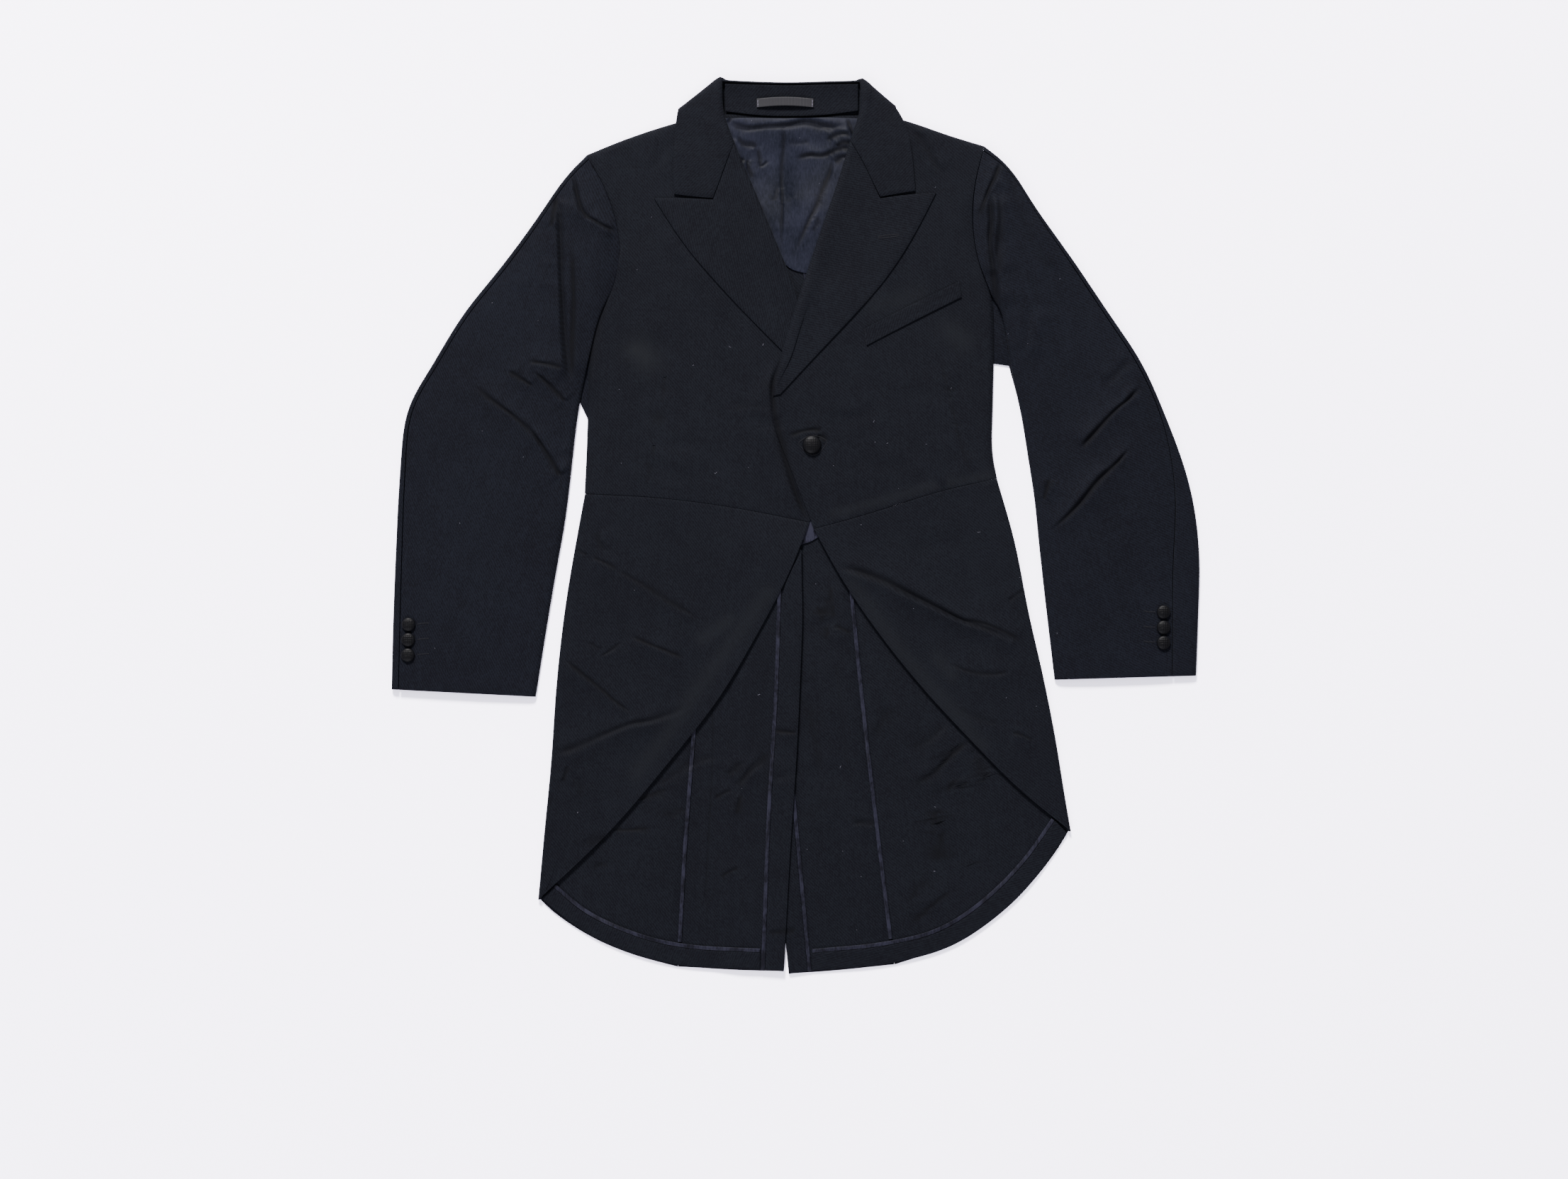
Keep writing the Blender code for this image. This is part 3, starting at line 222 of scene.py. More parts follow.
def bend(path, pieces=6):
    """A smooth line through the path's points."""
    p = [np.array(q, float) for q in path]
    p = [2 * p[0] - p[1]] + p + [2 * p[-1] - p[-2]]
    line = []
    for a, b, c, d in zip(p, p[1:], p[2:], p[3:]):
        for k in range(pieces):
            t = k / pieces
            line.append(0.5 * (2 * b + (c - a) * t + (2 * a - 5 * b + 4 * c - d) * t**2
                               + (3 * b - a - 3 * c + d) * t**3))
    return np.array(line + [p[-2]])


def nearest(points, line):
    """For each point its distance to the line, its side and how far along it lies, 0 to 1."""
    a, along = line[:-1], np.diff(line, axis=0)
    run = np.maximum((along**2).sum(1), 1e-9)
    off = points[:, None] - a[None]
    t = np.clip((off * along).sum(2) / run, 0, 1)
    gap = off - t[..., None] * along
    far = np.sqrt((gap**2).sum(2))
    best = far.argmin(1)
    row = np.arange(len(points))
    side = np.sign(along[best, 0] * gap[row, best, 1] - along[best, 1] * gap[row, best, 0])
    return far[row, best], side, (best + t[row, best]) / len(a)


def creased(points, creases):
    """Height in mm that the creases give at each (x, y) in mm. A trough lies between two
    soft shoulders, the one it leans to being higher. Its width and depth wander.
    Also how strongly painted shade darkens each point's colour in a narrow trough, 0 to 1."""
    height, trough_shade = np.zeros(len(points)), np.zeros(len(points))
    for number, crease in enumerate(creases):
        line = bend(crease.path)
        reach = 4 * (1.2 * crease.width + 5)
        low, high = line.min(0) - reach, line.max(0) + reach
        near = np.nonzero(((points > low) & (points < high)).all(1))[0]
        if not len(near):
            continue
        far, side, t = nearest(points[near], line)
        wander = 1 + 0.22 * np.sin(9 * t + 2 * number) + 0.14 * np.sin(23 * t + number)
        s = far * side / (crease.width * (1 + 0.2 * np.sin(7 * t + 1.7 * number)))
        ends = np.clip(t / 0.18, 0, 1) * np.clip((1 - t) / 0.18, 0, 1)
        ends = ends * ends * (3 - 2 * ends)
        trough = np.exp(-(s**2))
        slope = np.exp(-np.abs(s) / (1.2 + 5 / crease.width))
        shoulder = (1 - trough) * slope * (0.5 + 0.5 * crease.lean * np.sign(s))
        height[near] += crease.depth * wander * ends * (RELIEF * shoulder - 0.4 * trough)
        # Painted shade: narrow, deep troughs get the darkest colour, where shadow falls in a real crease.
        sharp = min(1.0, max(0.0, (5.5 - crease.width) / 2.5)) * min(1.0, 1.3 * crease.depth)
        trough_shade[near] = np.maximum(trough_shade[near], 0.85 * sharp * ends * trough)
    return height, trough_shade


def polished(points, bands):
    """How much the nap is pressed flat and pale at each point, 0 to 1."""
    amount = np.zeros(len(points))
    for band in bands:
        far = nearest(points, bend(band.path, 3))[0]
        amount = np.maximum(amount, band.amount * np.exp(-((far / band.width) ** 2)))
    return amount


def ripple(points, size):
    """Low unevenness of cloth that has been worn and laid down, in mm, never below 0."""
    x, y = points[:, 0], points[:, 1]
    waves = (np.sin(0.061 * x + 0.023 * y + 1.0) + np.sin(-0.034 * x + 0.052 * y + 2.2)
             + 0.7 * np.sin(0.11 * x - 0.07 * y) + 0.6 * np.sin(0.05 * x + 0.13 * y + 0.6))
    return size * (waves + 3.3) / 6.6


def press(panel, floor_creases=(), top_creases=(), size=0.3, top_from=2.4, top_to=3.6):
    """Creases a cut panel: floor_creases lift every layer above them, and
    top_creases only what lies higher than top_from, so that the lower layer stays flat."""
    refine(panel, list(floor_creases) + list(top_creases))
    count = len(panel.data.vertices)
    place = np.empty(count * 3, np.float32)
    panel.data.vertices.foreach_get("co", place)
    place = place.reshape(-1, 3).astype(float) / MM
    flat = place[:, :2]
    for pull in PULLS:
        if panel.name[: -len("_cloth")] in pull.nodes:
            near = np.exp(-((flat - np.array(pull.place, float)) ** 2).sum(1) / pull.reach**2)
            place[:, :2] += near[:, None] * np.array(pull.shift)
    low, low_trough_shade = creased(flat, floor_creases)
    high, high_trough_shade = creased(flat, top_creases)
    above = np.clip((place[:, 2] - top_from) / (top_to - top_from), 0, 1)
    above = above * above * (3 - 2 * above)
    place[:, 2] += np.maximum(low, 0) + ripple(flat, size) + above * high
    # Painted shade: this attribute darkens the colour along the narrow crease troughs.
    crease_shade = panel.data.attributes.new("crushed_nap", "FLOAT", "POINT")
    crease_shade.data.foreach_set("value", np.maximum(low_trough_shade, above * high_trough_shade).astype(np.float32))
    pressed = panel.data.attributes.new("pressed_nap", "FLOAT", "POINT")
    pressed.data.foreach_set("value", (above * polished(flat, PRESSED)).astype(np.float32))
    panel.data.vertices.foreach_set("co", (place * MM).astype(np.float32).ravel())
    panel.data.update()
    bpy.ops.object.select_all(action="DESELECT")
    bpy.context.view_layer.objects.active = panel
    panel.select_set(True)
    bpy.ops.object.shade_smooth_by_angle(angle=SHARP_ANGLE)
    return panel


WORSTED_DARK = "#010103"
WORSTED_LIGHT = "#040508"
# Painted shade colour for the narrow crease troughs.
CREASE_SHADE_COLOUR = "#010102"
POLISHED = "#07080a"
THREAD = 1.7  # mm; the real twill line is 0.5 mm, drawn coarser so that it shows


def worsted(name, grain=0.0, dark=WORSTED_DARK, light=WORSTED_LIGHT):
    """Fine wool worsted suiting, woven in a steep twill and pressed: matt with a soft
    bloom of nap at grazing angles. grain turns the warp, in degrees."""
    material, tree, shader = new_material(name, Roughness=0.8)
    shader.inputs["Specular IOR Level"].default_value = 0.03
    shader.inputs["Sheen Weight"].default_value = 0.012
    shader.inputs["Sheen Roughness"].default_value = 0.45
    shader.inputs["Sheen Tint"].default_value = linear("#b4b6be")
    place = add_node(tree, "TexCoord")
    turned = add_node(tree, "Mapping", {"Rotation": (0, 0, math.radians(grain))},
                      {"Vector": place.outputs["Object"]})
    twill = add_node(tree, "TexWave", {"Scale": 2 * math.pi / (20 * THREAD * MM), "Distortion": 2.5,
                                       "Detail": 2.0, "Detail Scale": 2.0},
                     {"Vector": turned.outputs["Vector"]}, bands_direction="DIAGONAL")
    yarn = add_node(tree, "Mapping", {"Scale": (1.0, 0.4, 1.0)}, {"Vector": turned.outputs["Vector"]})
    slub = add_node(tree, "TexNoise", {"Scale": 900.0, "Detail": 2.0, "Roughness": 0.7},
                    {"Vector": yarn.outputs["Vector"]})
    ends = add_node(tree, "Mapping", {"Scale": (1.0, 0.012, 1.0)}, {"Vector": turned.outputs["Vector"]})
    warp = add_node(tree, "TexNoise", {"Scale": 330.0, "Detail": 3.0}, {"Vector": ends.outputs["Vector"]})
    bloom = add_node(tree, "TexNoise", {"Scale": 60.0, "Detail": 5.0, "Roughness": 0.65},
                     {"Vector": place.outputs["Object"]})
    worn = add_node(tree, "TexNoise", {"Scale": 7.0, "Detail": 3.0}, {"Vector": place.outputs["Object"]})
    weave = add_node(tree, "Mix", {"Factor": 0.8},
                     {"A": twill.outputs["Fac"], "B": slub.outputs["Fac"]}, data_type="FLOAT")
    cloudy = add_node(tree, "Mix", {"Factor": 0.4},
                      {"A": bloom.outputs["Fac"], "B": worn.outputs["Fac"]}, data_type="FLOAT")
    lines = add_node(tree, "Mix", {"Factor": 0.25},
                     {"A": cloudy.outputs["Result"], "B": warp.outputs["Fac"]}, data_type="FLOAT")
    shade = add_node(tree, "Mix", {"Factor": 0.65},
                     {"A": lines.outputs["Result"], "B": weave.outputs["Result"]}, data_type="FLOAT")
    stretch = add_node(tree, "MapRange", {"From Min": 0.41, "From Max": 0.59},
                       {"Value": shade.outputs["Result"]})
    colour = add_node(tree, "Mix", {"A": linear(dark), "B": linear(light)},
                      {"Factor": stretch.outputs["Result"]}, data_type="RGBA")
    # Painted shade: the colour is darkened in the narrow crease troughs.
    crease_shade = add_node(tree, "Attribute", attribute_name="crushed_nap")
    colour = add_node(tree, "Mix", {"B": linear(CREASE_SHADE_COLOUR)},
                      {"Factor": crease_shade.outputs["Fac"], "A": colour.outputs["Result"]}, data_type="RGBA")
    pressed = add_node(tree, "Attribute", attribute_name="pressed_nap")
    colour = add_node(tree, "Mix", {"B": linear(POLISHED)},
                      {"Factor": pressed.outputs["Fac"], "A": colour.outputs["Result"]}, data_type="RGBA")
    tree.links.new(colour.outputs["Result"], shader.inputs["Base Color"])
    relief = add_node(tree, "Bump", {"Strength": 0.6, "Distance": 0.3 * MM},
                      {"Height": weave.outputs["Result"]})
    tree.links.new(relief.outputs["Normal"], shader.inputs["Normal"])
    return material


def finish_cloth(panel, node, material):
    """Gives a panel its material, hangs it under the root body and hides the CAD part it replaces."""
    panel.data.materials.append(material)
    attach(panel, "root")
    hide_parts(node)
    return panel


# Soft creases of the tails' insides, which show in the opening, and on the back's right side.
TAIL_CREASES = [
    Crease([(-167, -291), (-158, -287), (-148, -283), (-135, -279)], 2.2, 1.1, -0.4),
    Crease([(-196, -321), (-180, -322), (-165, -321), (-153, -319)], 1.8, 0.8, -0.4),
    Crease([(-150, -277), (-128, -263), (-108, -250), (-80, -243)], 4.5, 1.0, -0.3),
    Crease([(-136, -310), (-126, -303), (-114, -300)], 4, 0.7, -0.3),
    Crease([(-86, -289), (-76, -283), (-67, -280)], 2, 0.6, 0.2),
    Crease([(-64, -276), (-55, -268), (-46, -257), (-36, -249), (-26, -238)], 4, 1.3, -0.3),
    Crease([(-72, -264), (-64, -257), (-55, -250)], 4, 0.7, 0.3),
    Crease([(-61, -306), (-60, -295), (-57, -284)], 3, 0.7, 0.3),
    Crease([(-80, -372), (-70, -366), (-59, -361)], 1.8, 0.6, 0.2),
    Crease([(-214, -363), (-207, -359), (-200, -357)], 1.8, 0.6, 0.2),
    Crease([(-226, -336), (-212, -333), (-200, -331)], 4, 0.6, 0.2),
    Crease([(-24, -216), (-10, -218), (2, -219)], 2.2, 1.0, -0.3),
    Crease([(-26, -268), (-12, -265), (1, -261)], 5, 1.0, -0.3),
    Crease([(-30, -430), (-14, -429), (2, -428)], 3, 0.6, 0.2),
    Crease([(-2, -314), (10, -308), (22, -298), (34, -286), (44, -275)], 5, 1.3, -0.3),
    Crease([(12, -180), (17, -210), (23, -235), (26, -264)], 4.5, 1.1, 0.3),
    Crease([(60, -315), (72, -314), (86, -315)], 4, 1.1, -0.3),
    Crease([(34, -45), (37, -90), (44, -150), (53, -230), (64, -350), (76, -440)], 0.9, 0.5, 0.2),
    Crease([(182, -228), (172, -236), (162, -245), (152, -256), (142, -267)], 2.6, 2.1, -0.3),
    Crease([(146, -264), (132, -270), (119, -278)], 4, 1.3, -0.3),
    Crease([(120, -279), (106, -291), (92, -303)], 5, 1.1, -0.2),
    Crease([(157, -283), (165, -275), (171, -267)], 2.4, 0.7, 0.3),
    Crease([(173, -279), (178, -273), (182, -269)], 1.8, 0.7, 0.2),
    Crease([(198, -273), (200, -266), (206, -261)], 1.8, 0.7, 0.2),
    Crease([(151, -296), (146, -312), (142, -329)], 2.4, 1.1, 0.3),
    Crease([(157, -321), (152, -338), (150, -357)], 3, 0.7, 0.3),
    Crease([(133, -374), (127, -388), (121, -401)], 4, 0.7, 0.2),
    Crease([(167, -384), (150, -397), (136, -409), (121, -421)], 2.4, 0.7, -0.3),
    Crease([(189, -243), (196, -257), (202, -270)], 4, 0.8, 0.3),
    Crease([(184, -356), (189, -355), (194, -357)], 1.8, 0.6, 0.2),
    Crease([(118, -236), (138, -229), (152, -217), (160, -207)], 4.5, 1.0, -0.3),
    Crease([(84, -226), (92, -206), (106, -189)], 4.5, 0.8, 0.3),
    Crease([(116, -202), (125, -186), (136, -171)], 5, 0.8, 0.3),
    Crease([(22, -84), (27, -94), (30, -102)], 2, 0.8, -0.2),
    Crease([(37, -62), (38, -80), (41, -102)], 2, 0.7, 0.2),
    Crease([(40, -107), (50, -109), (59, -115)], 2, 0.8, -0.3),
    Crease([(32, -106), (33, -113), (31, -121)], 2, 0.8, 0.2),
    Crease([(8, -108), (12, -150), (18, -182), (22, -214)], 6, 1.0, 0.3),
    Crease([(-90, -170), (-87, -230), (-92, -330), (-96, -420)], 1.0, 0.4, 0.2),
]
BACK_CREASES = [
    Crease([(-150, 300), (-120, 262), (-95, 205)], 12, 1.1, 0.3),
    Crease([(140, 310), (118, 266), (96, 214)], 12, 1.0, -0.3),
    Crease([(-60, 120), (-30, 108), (-8, 110)], 8, 0.9, 0.2),
    Crease([(90, 128), (60, 112), (30, 112)], 8, 0.9, -0.2),
    Crease([(-180, 92), (-150, 62), (-110, 46)], 9, 0.9, 0.2),
    Crease([(180, 88), (156, 58), (120, 44)], 9, 0.9, 0.2),
    Crease([(-190, 180), (-172, 150), (-160, 112)], 7, 0.8, 0.2),
    Crease([(188, 176), (170, 144), (160, 108)], 7, 0.8, -0.2),
]
FLOOR_CREASES = TAIL_CREASES + BACK_CREASES

Panel = namedtuple("Panel", "node levels grain flat area rests")
BACKS = [
    Panel("back_right", 3, 2.0, (0.230, 0.908), 0.115, "table_top"),
    Panel("back_left", 3, -2.0, (0.248, 0.908), 0.113, "table_top"),
    Panel("side_body_right", 2, 8.0, (0.130, 0.298), 0.0225, "table_top"),
    Panel("side_body_left", 2, -8.0, (0.158, 0.298), 0.0234, "table_top"),
]
back_panels = {}
for row in BACKS:
    panel = press(cut_cloth(row.node, row.levels), FLOOR_CREASES)
    finish_cloth(panel, row.node, worsted("worsted_" + row.node, row.grain))
    back_panels[row.node] = panel

# ---- Foreparts ----
# The two front panels, right over left, each with a waist dart, rolled over at the lapel
# line. Below the button their edges are cut away.

CHEST_CREASES = [
    Crease([(-70, 129), (-50, 126), (-31, 126)], 5, 0.6, -0.3),
    Crease([(-8, 94), (6, 99), (20, 101), (28, 99)], 2.6, 0.8, -0.3),
    Crease([(20, 92), (28, 93), (33, 88)], 3, 0.9, -0.2),
    Crease([(121, 421), (139, 397), (154, 370)], 4.5, 0.9, 0.3),
    Crease([(-131, 407), (-143, 389), (-153, 370)], 8, 0.7, 0.3),
    Crease([(-186, 196), (-160, 188), (-120, 190)], 14, 0.5, 0.2),
    Crease([(178, 150), (150, 138), (112, 140)], 14, 0.5, 0.2),
    Crease([(-168, 92), (-140, 84), (-96, 88)], 12, 0.5, -0.2),
    Crease([(60, 74), (90, 62), (128, 66)], 12, 0.5, 0.2),
    Crease([(-189, 310), (-190, 285), (-196, 258), (-205, 225), (-214, 190), (-221, 155), (-223, 122)],
           4, 0.9, 0.7),
    Crease([(-13, 180), (-24, 150), (-22, 120), (-17, 96), (-9, 64), (-1, 38), (6, 20), (14, 2)], 3.2, 1.6, -0.4),
    Crease([(-137, 178), (-139, 144), (-145, 111), (-151, 76), (-160, 33)], 0.9, 0.45, 0.3),
    Crease([(151, 182), (163, 137), (172, 95), (188, 47)], 0.9, 0.45, 0.3),
]
FOREPARTS = [
    Panel("forepart_left", 3, -4.0, (0.262, 0.442), 0.0772, "back_left_cloth"),
    Panel("forepart_right", 3, 4.0, (0.276, 0.434), 0.0850, "forepart_left_cloth"),
]
foreparts = {}
for row in FOREPARTS:
    panel = press(cut_cloth(row.node, row.levels), FLOOR_CREASES, CHEST_CREASES)
    finish_cloth(panel, row.node, worsted("worsted_" + row.node, row.grain))
    foreparts[row.node] = panel

# ---- Skirts ----
# Each skirt is seamed to its forepart at the waist, goes round the side and is seamed to
# the back. Laid flat, its front half lies over its back half, folded at the side.

SKIRT_CREASES = [
    Crease([(-246, -140), (-225, -157), (-205, -173), (-190, -186), (-172, -199)], 2, 0.9, -0.3),
    Crease([(-175, -116), (-155, -125), (-135, -133), (-116, -141)], 2.2, 0.8, -0.3),
    Crease([(-207, -139), (-195, -132), (-184, -123)], 1.8, 0.5, -0.3),
    Crease([(-220, -124), (-213, -127), (-205, -131)], 1.8, 0.4, 0.3),
    Crease([(-257, -242), (-235, -235), (-205, -222), (-175, -210), (-150, -205), (-108, -190)], 4, 1.3, -0.4),
    Crease([(-216, -33), (-200, -40), (-188, -47)], 2.2, 0.6, -0.3),
    Crease([(-190, -46), (-164, -61), (-135, -79), (-100, -100)], 2.8, 0.5, -0.3),
    Crease([(-232, -26), (-226, -28), (-220, -32)], 1.8, 0.4, 0.2),
    Crease([(-211, -6), (-208, -16), (-203, -27)], 3.5, 0.5, 0.3),
    Crease([(-246, -272), (-243, -262), (-240, -253)], 2.2, 0.6, 0.3),
    Crease([(-235, -264), (-228, -275), (-226, -290)], 4, 0.4, 0.2),
    Crease([(43, -43), (65, -48), (95, -59), (120, -72), (150, -87), (176, -100), (205, -110), (244, -127)],
           3.6, 2.3, -0.3),
    Crease([(176, -99), (200, -104), (222, -113), (238, -122)], 2.4, 0.7, -0.3),
    Crease([(164, -146), (182, -154), (205, -157), (228, -155)], 2.4, 0.5, -0.3),
    Crease([(168, -192), (185, -200), (200, -206), (217, -211)], 4, 0.4, -0.3),
    Crease([(228, -218), (240, -222), (251, -227)], 2, 0.6, -0.3),
    Crease([(224, -81), (234, -73), (244, -68)], 2.6, 0.4, 0.3),
    Crease([(110, -30), (150, -22), (190, -12)], 14, 0.5, 0.2),
]
SKIRTS = [
    Panel("skirt_left", 3, -7.0, (0.470, 0.515), 0.1325, "back_left_cloth"),
    Panel("skirt_right", 3, 7.0, (0.470, 0.501), 0.1330, "back_right_cloth"),
]
skirts = {}
for row in SKIRTS:
    panel = press(cut_cloth(row.node, row.levels), FLOOR_CREASES, SKIRT_CREASES)
    finish_cloth(panel, row.node, worsted("worsted_" + row.node, row.grain))
    skirts[row.node] = panel

# ---- Sleeves ----
# Two-piece sleeves: the under sleeve lies on the table and the top sleeve over it, seamed
# at both edges and set into the armhole. The elbows have gone into sharp folds.

SLEEVE_CREASES = [
    Crease([(-236, 376), (-226, 334), (-210, 320), (-187, 308)], 2.4, 1.6, -0.3),
    Crease([(-250, 354), (-248, 306), (-246, 245), (-242, 185), (-237, 146)], 3.9, 2.6, -0.6),
    Crease([(-236, 300), (-234, 240), (-236, 190), (-236, 150)], 3, 0.9, 0.4),
    Crease([(-251, 348), (-255, 330), (-258, 312)], 3, 1.0, 0.3),
    Crease([(-272, 285), (-275, 265), (-276, 245)], 7, 0.9, 0.2),
    Crease([(-282, 173), (-262, 170), (-244, 166)], 2.6, 1.0, -0.4),
    Crease([(-277, 163), (-262, 150), (-250, 138), (-242, 129)], 2.4, 1.0, 0.3),
    Crease([(-304, 163), (-290, 155), (-277, 146)], 2.4, 0.8, 0.3),
    Crease([(-341, 149), (-320, 132), (-305, 121), (-290, 109), (-274, 94)], 2.6, 0.9, 0.3),
    Crease([(-284, 106), (-272, 90), (-262, 75), (-252, 58), (-247, 51)], 2.6, 1.6, 0.3),
    Crease([(-250, 76), (-240, 72), (-232, 76)], 6, 0.8, 0.2),
    Crease([(217, 385), (210, 367), (203, 352), (191, 320)], 2.4, 1.6, 0.3),
    Crease([(204, 352), (206, 325), (205, 295), (210, 258), (212, 221)], 3.6, 2.8, 0.4),
    Crease([(214, 352), (216, 318), (213, 284), (216, 262)], 4.2, 1.6, -0.3),
    Crease([(223, 381), (235, 337), (256, 290), (273, 259)], 5, 1.2, 0.4),
    Crease([(247, 234), (245, 206), (241, 179)], 7, 0.9, 0.2),
    Crease([(365, 147), (350, 132), (336, 120), (313, 95), (300, 80)], 2.6, 1.6, -0.4),
    Crease([(354, 82), (336, 63), (320, 48), (296, 19), (268, -8)], 2.8, 1.7, -0.4),
    Crease([(268, 50), (265, 38), (262, 26)], 2.6, 0.8, 0.3),
    Crease([(355, 177), (340, 161), (326, 148)], 5, 0.9, -0.2),
    Crease([(-418, -58), (-420, -100), (-421, -140), (-422, -178)], 0.9, 0.5, 0.3),
    Crease([(401, -56), (401, -90), (400, -130), (400, -163)], 0.9, 0.5, 0.3),
]
UNDER_SLEEVE_CREASES = [
    Crease([(-300, 300), (-272, 262), (-256, 214)], 10, 1.2, 0.3),
    Crease([(-390, 120), (-352, 100), (-306, 92)], 8, 1.4, 0.4),
    Crease([(-384, 60), (-346, 66), (-302, 52)], 6, 1.1, -0.3),
    Crease([(290, 300), (270, 258), (252, 220)], 10, 1.2, -0.3),
    Crease([(380, 110), (344, 96), (306, 92)], 8, 1.4, 0.4),
    Crease([(384, 44), (346, 34), (304, 26)], 6, 1.1, 0.3),
]
SLEEVES = [
    Panel("under_sleeve_right", 2, 18.0, (0.230, 0.590), 0.0841, "table_top"),
    Panel("under_sleeve_left", 2, -18.0, (0.232, 0.585), 0.0811, "table_top"),
    Panel("top_sleeve_right", 3, 18.0, (0.232, 0.590), 0.0804, "under_sleeve_right_cloth"),
    Panel("top_sleeve_left", 3, -18.0, (0.214, 0.585), 0.0672, "under_sleeve_left_cloth"),
]
sleeves = {}
for row in SLEEVES:
    panel = cut_cloth(row.node, row.levels)
    if row.node.startswith("top"):
        press(panel, [], SLEEVE_CREASES, 0.5, 2.0, 4.4)
    else:
        press(panel, UNDER_SLEEVE_CREASES, [], 0.3)
    finish_cloth(panel, row.node, worsted("worsted_" + row.node, row.grain, "#010103", "#040509"))
    sleeves[row.node] = panel

# ---- Collar and hanger loop ----
# The fall turns down over the stand, which is seamed to the neck. A blank loop of ribbed
# grey tape is sewn to the stand by its ends.

COLLAR = [
    Panel("collar_fall", 2, 90.0, (0.330, 0.128), 0.0225, "foreparts"),
    Panel("collar_stand", 2, 90.0, (0.142, 0.0335), 0.0046, "back_left_cloth"),
]
collar = {}
for row in COLLAR:
    panel = press(cut_cloth(row.node, row.levels), FLOOR_CREASES, CHEST_CREASES)
    finish_cloth(panel, row.node, worsted("worsted_" + row.node, row.grain))
    collar[row.node] = panel

# Woven rayon tape: dull grey, ribbed across, a rib each 1.2 mm.
loop_tape, tree, shader = new_material("ribbed_tape", Roughness=0.6)
shader.inputs["Specular IOR Level"].default_value = 0.15
place = add_node(tree, "TexCoord")
ribs = add_node(tree, "TexWave", {"Scale": 2 * math.pi / (20 * 1.6 * MM), "Distortion": 0.6},
                {"Vector": place.outputs["Object"]}, bands_direction="X")
tint = add_node(tree, "Mix", {"A": linear("#040406"), "B": linear("#08070b")},
                {"Factor": ribs.outputs["Fac"]}, data_type="RGBA")
relief = add_node(tree, "Bump", {"Strength": 0.6, "Distance": 0.3 * MM}, {"Height": ribs.outputs["Fac"]})
tree.links.new(tint.outputs["Result"], shader.inputs["Base Color"])
tree.links.new(relief.outputs["Normal"], shader.inputs["Normal"])
loop = press(cut_cloth("hanger_loop", 2), FLOOR_CREASES, CHEST_CREASES)
finish_cloth(loop, "hanger_loop", loop_tape)

# ---- Lapels ----
# Peaked lapels in one piece with the facing, turned over at the roll line and pressed.

LAPELS = [
    Panel("lapel_left", 2, -32.0, (0.175, 0.270), 0.0175, "forepart_left_cloth"),
    Panel("lapel_right", 2, 32.0, (0.192, 0.272), 0.0164, "forepart_right_cloth"),
]
lapels = {}
for row in LAPELS:
    panel = press(cut_cloth(row.node, row.levels), FLOOR_CREASES, CHEST_CREASES)
    finish_cloth(panel, row.node, worsted("worsted_" + row.node, row.grain))
    lapels[row.node] = panel

# ---- Breast welt ----
# A slanted pocket welt of the same cloth, sewn down at both ends on the left chest.

welt = press(cut_cloth("breast_welt", 3), FLOOR_CREASES, CHEST_CREASES)
finish_cloth(welt, "breast_welt", worsted("worsted_welt", 62.0))

# ---- Linings ----
# The back is lined with navy satin, pleated down the middle and loose enough to wrinkle;
# a corner of the waist's lining shows where the fronts part.

LINING_CREASES = [
    Crease([(-12, 434), (-13, 400), (-15, 380), (-15, 362), (-14, 330), (-16, 280)], 2.2, 0.6, 0.5),
    Crease([(-70, 428), (-62, 422), (-48, 419), (-30, 421), (-8, 422), (12, 425), (38, 420), (64, 424)],
           3.6, 1.7, 0.5),
    Crease([(60, 412), (46, 413), (32, 406)], 3.4, 1.0, -0.5),
    Crease([(62, 403), (50, 404), (43, 399)], 3.1, 0.9, -0.4),
    Crease([(62, 397), (48, 398), (30, 391), (14, 391), (-2, 387)], 3.1, 1.1, -0.5),
    Crease([(58, 387), (50, 389), (41, 382)], 3.4, 1.1, -0.3),
    Crease([(-63, 412), (-55, 403), (-46, 402), (-40, 399)], 3.4, 1.1, -0.3),
    Crease([(-41, 401), (-38, 388), (-36, 380), (-27, 387)], 2.2, 0.6, 0.3),
    Crease([(-64, 390), (-58, 385), (-54, 388)], 3.4, 0.9, 0.2),
    Crease([(-51, 388), (-50, 378), (-45, 366)], 2.4, 0.7, 0.4),
    Crease([(40, 389), (36, 372), (30, 358), (22, 338), (12, 318), (-3, 284)], 2.9, 0.9, 0.5),
    Crease([(25, 328), (22, 318), (18, 310)], 2.9, 0.5, 0.3),
    Crease([(-20, 358), (-21, 350), (-24, 342)], 2.9, 0.4, 0.3),
    Crease([(-72, 424), (-67, 432), (-64, 438)], 2.4, 0.6, 0.3),
    Crease([(54, 430), (58, 420), (61, 411)], 2.6, 0.7, -0.3),
    Crease([(-10, 405), (4, 404), (16, 406)], 3.6, 0.4, -0.3),
    Crease([(-44, 340), (-30, 322), (-20, 300)], 4.8, 0.4, 0.3),
]


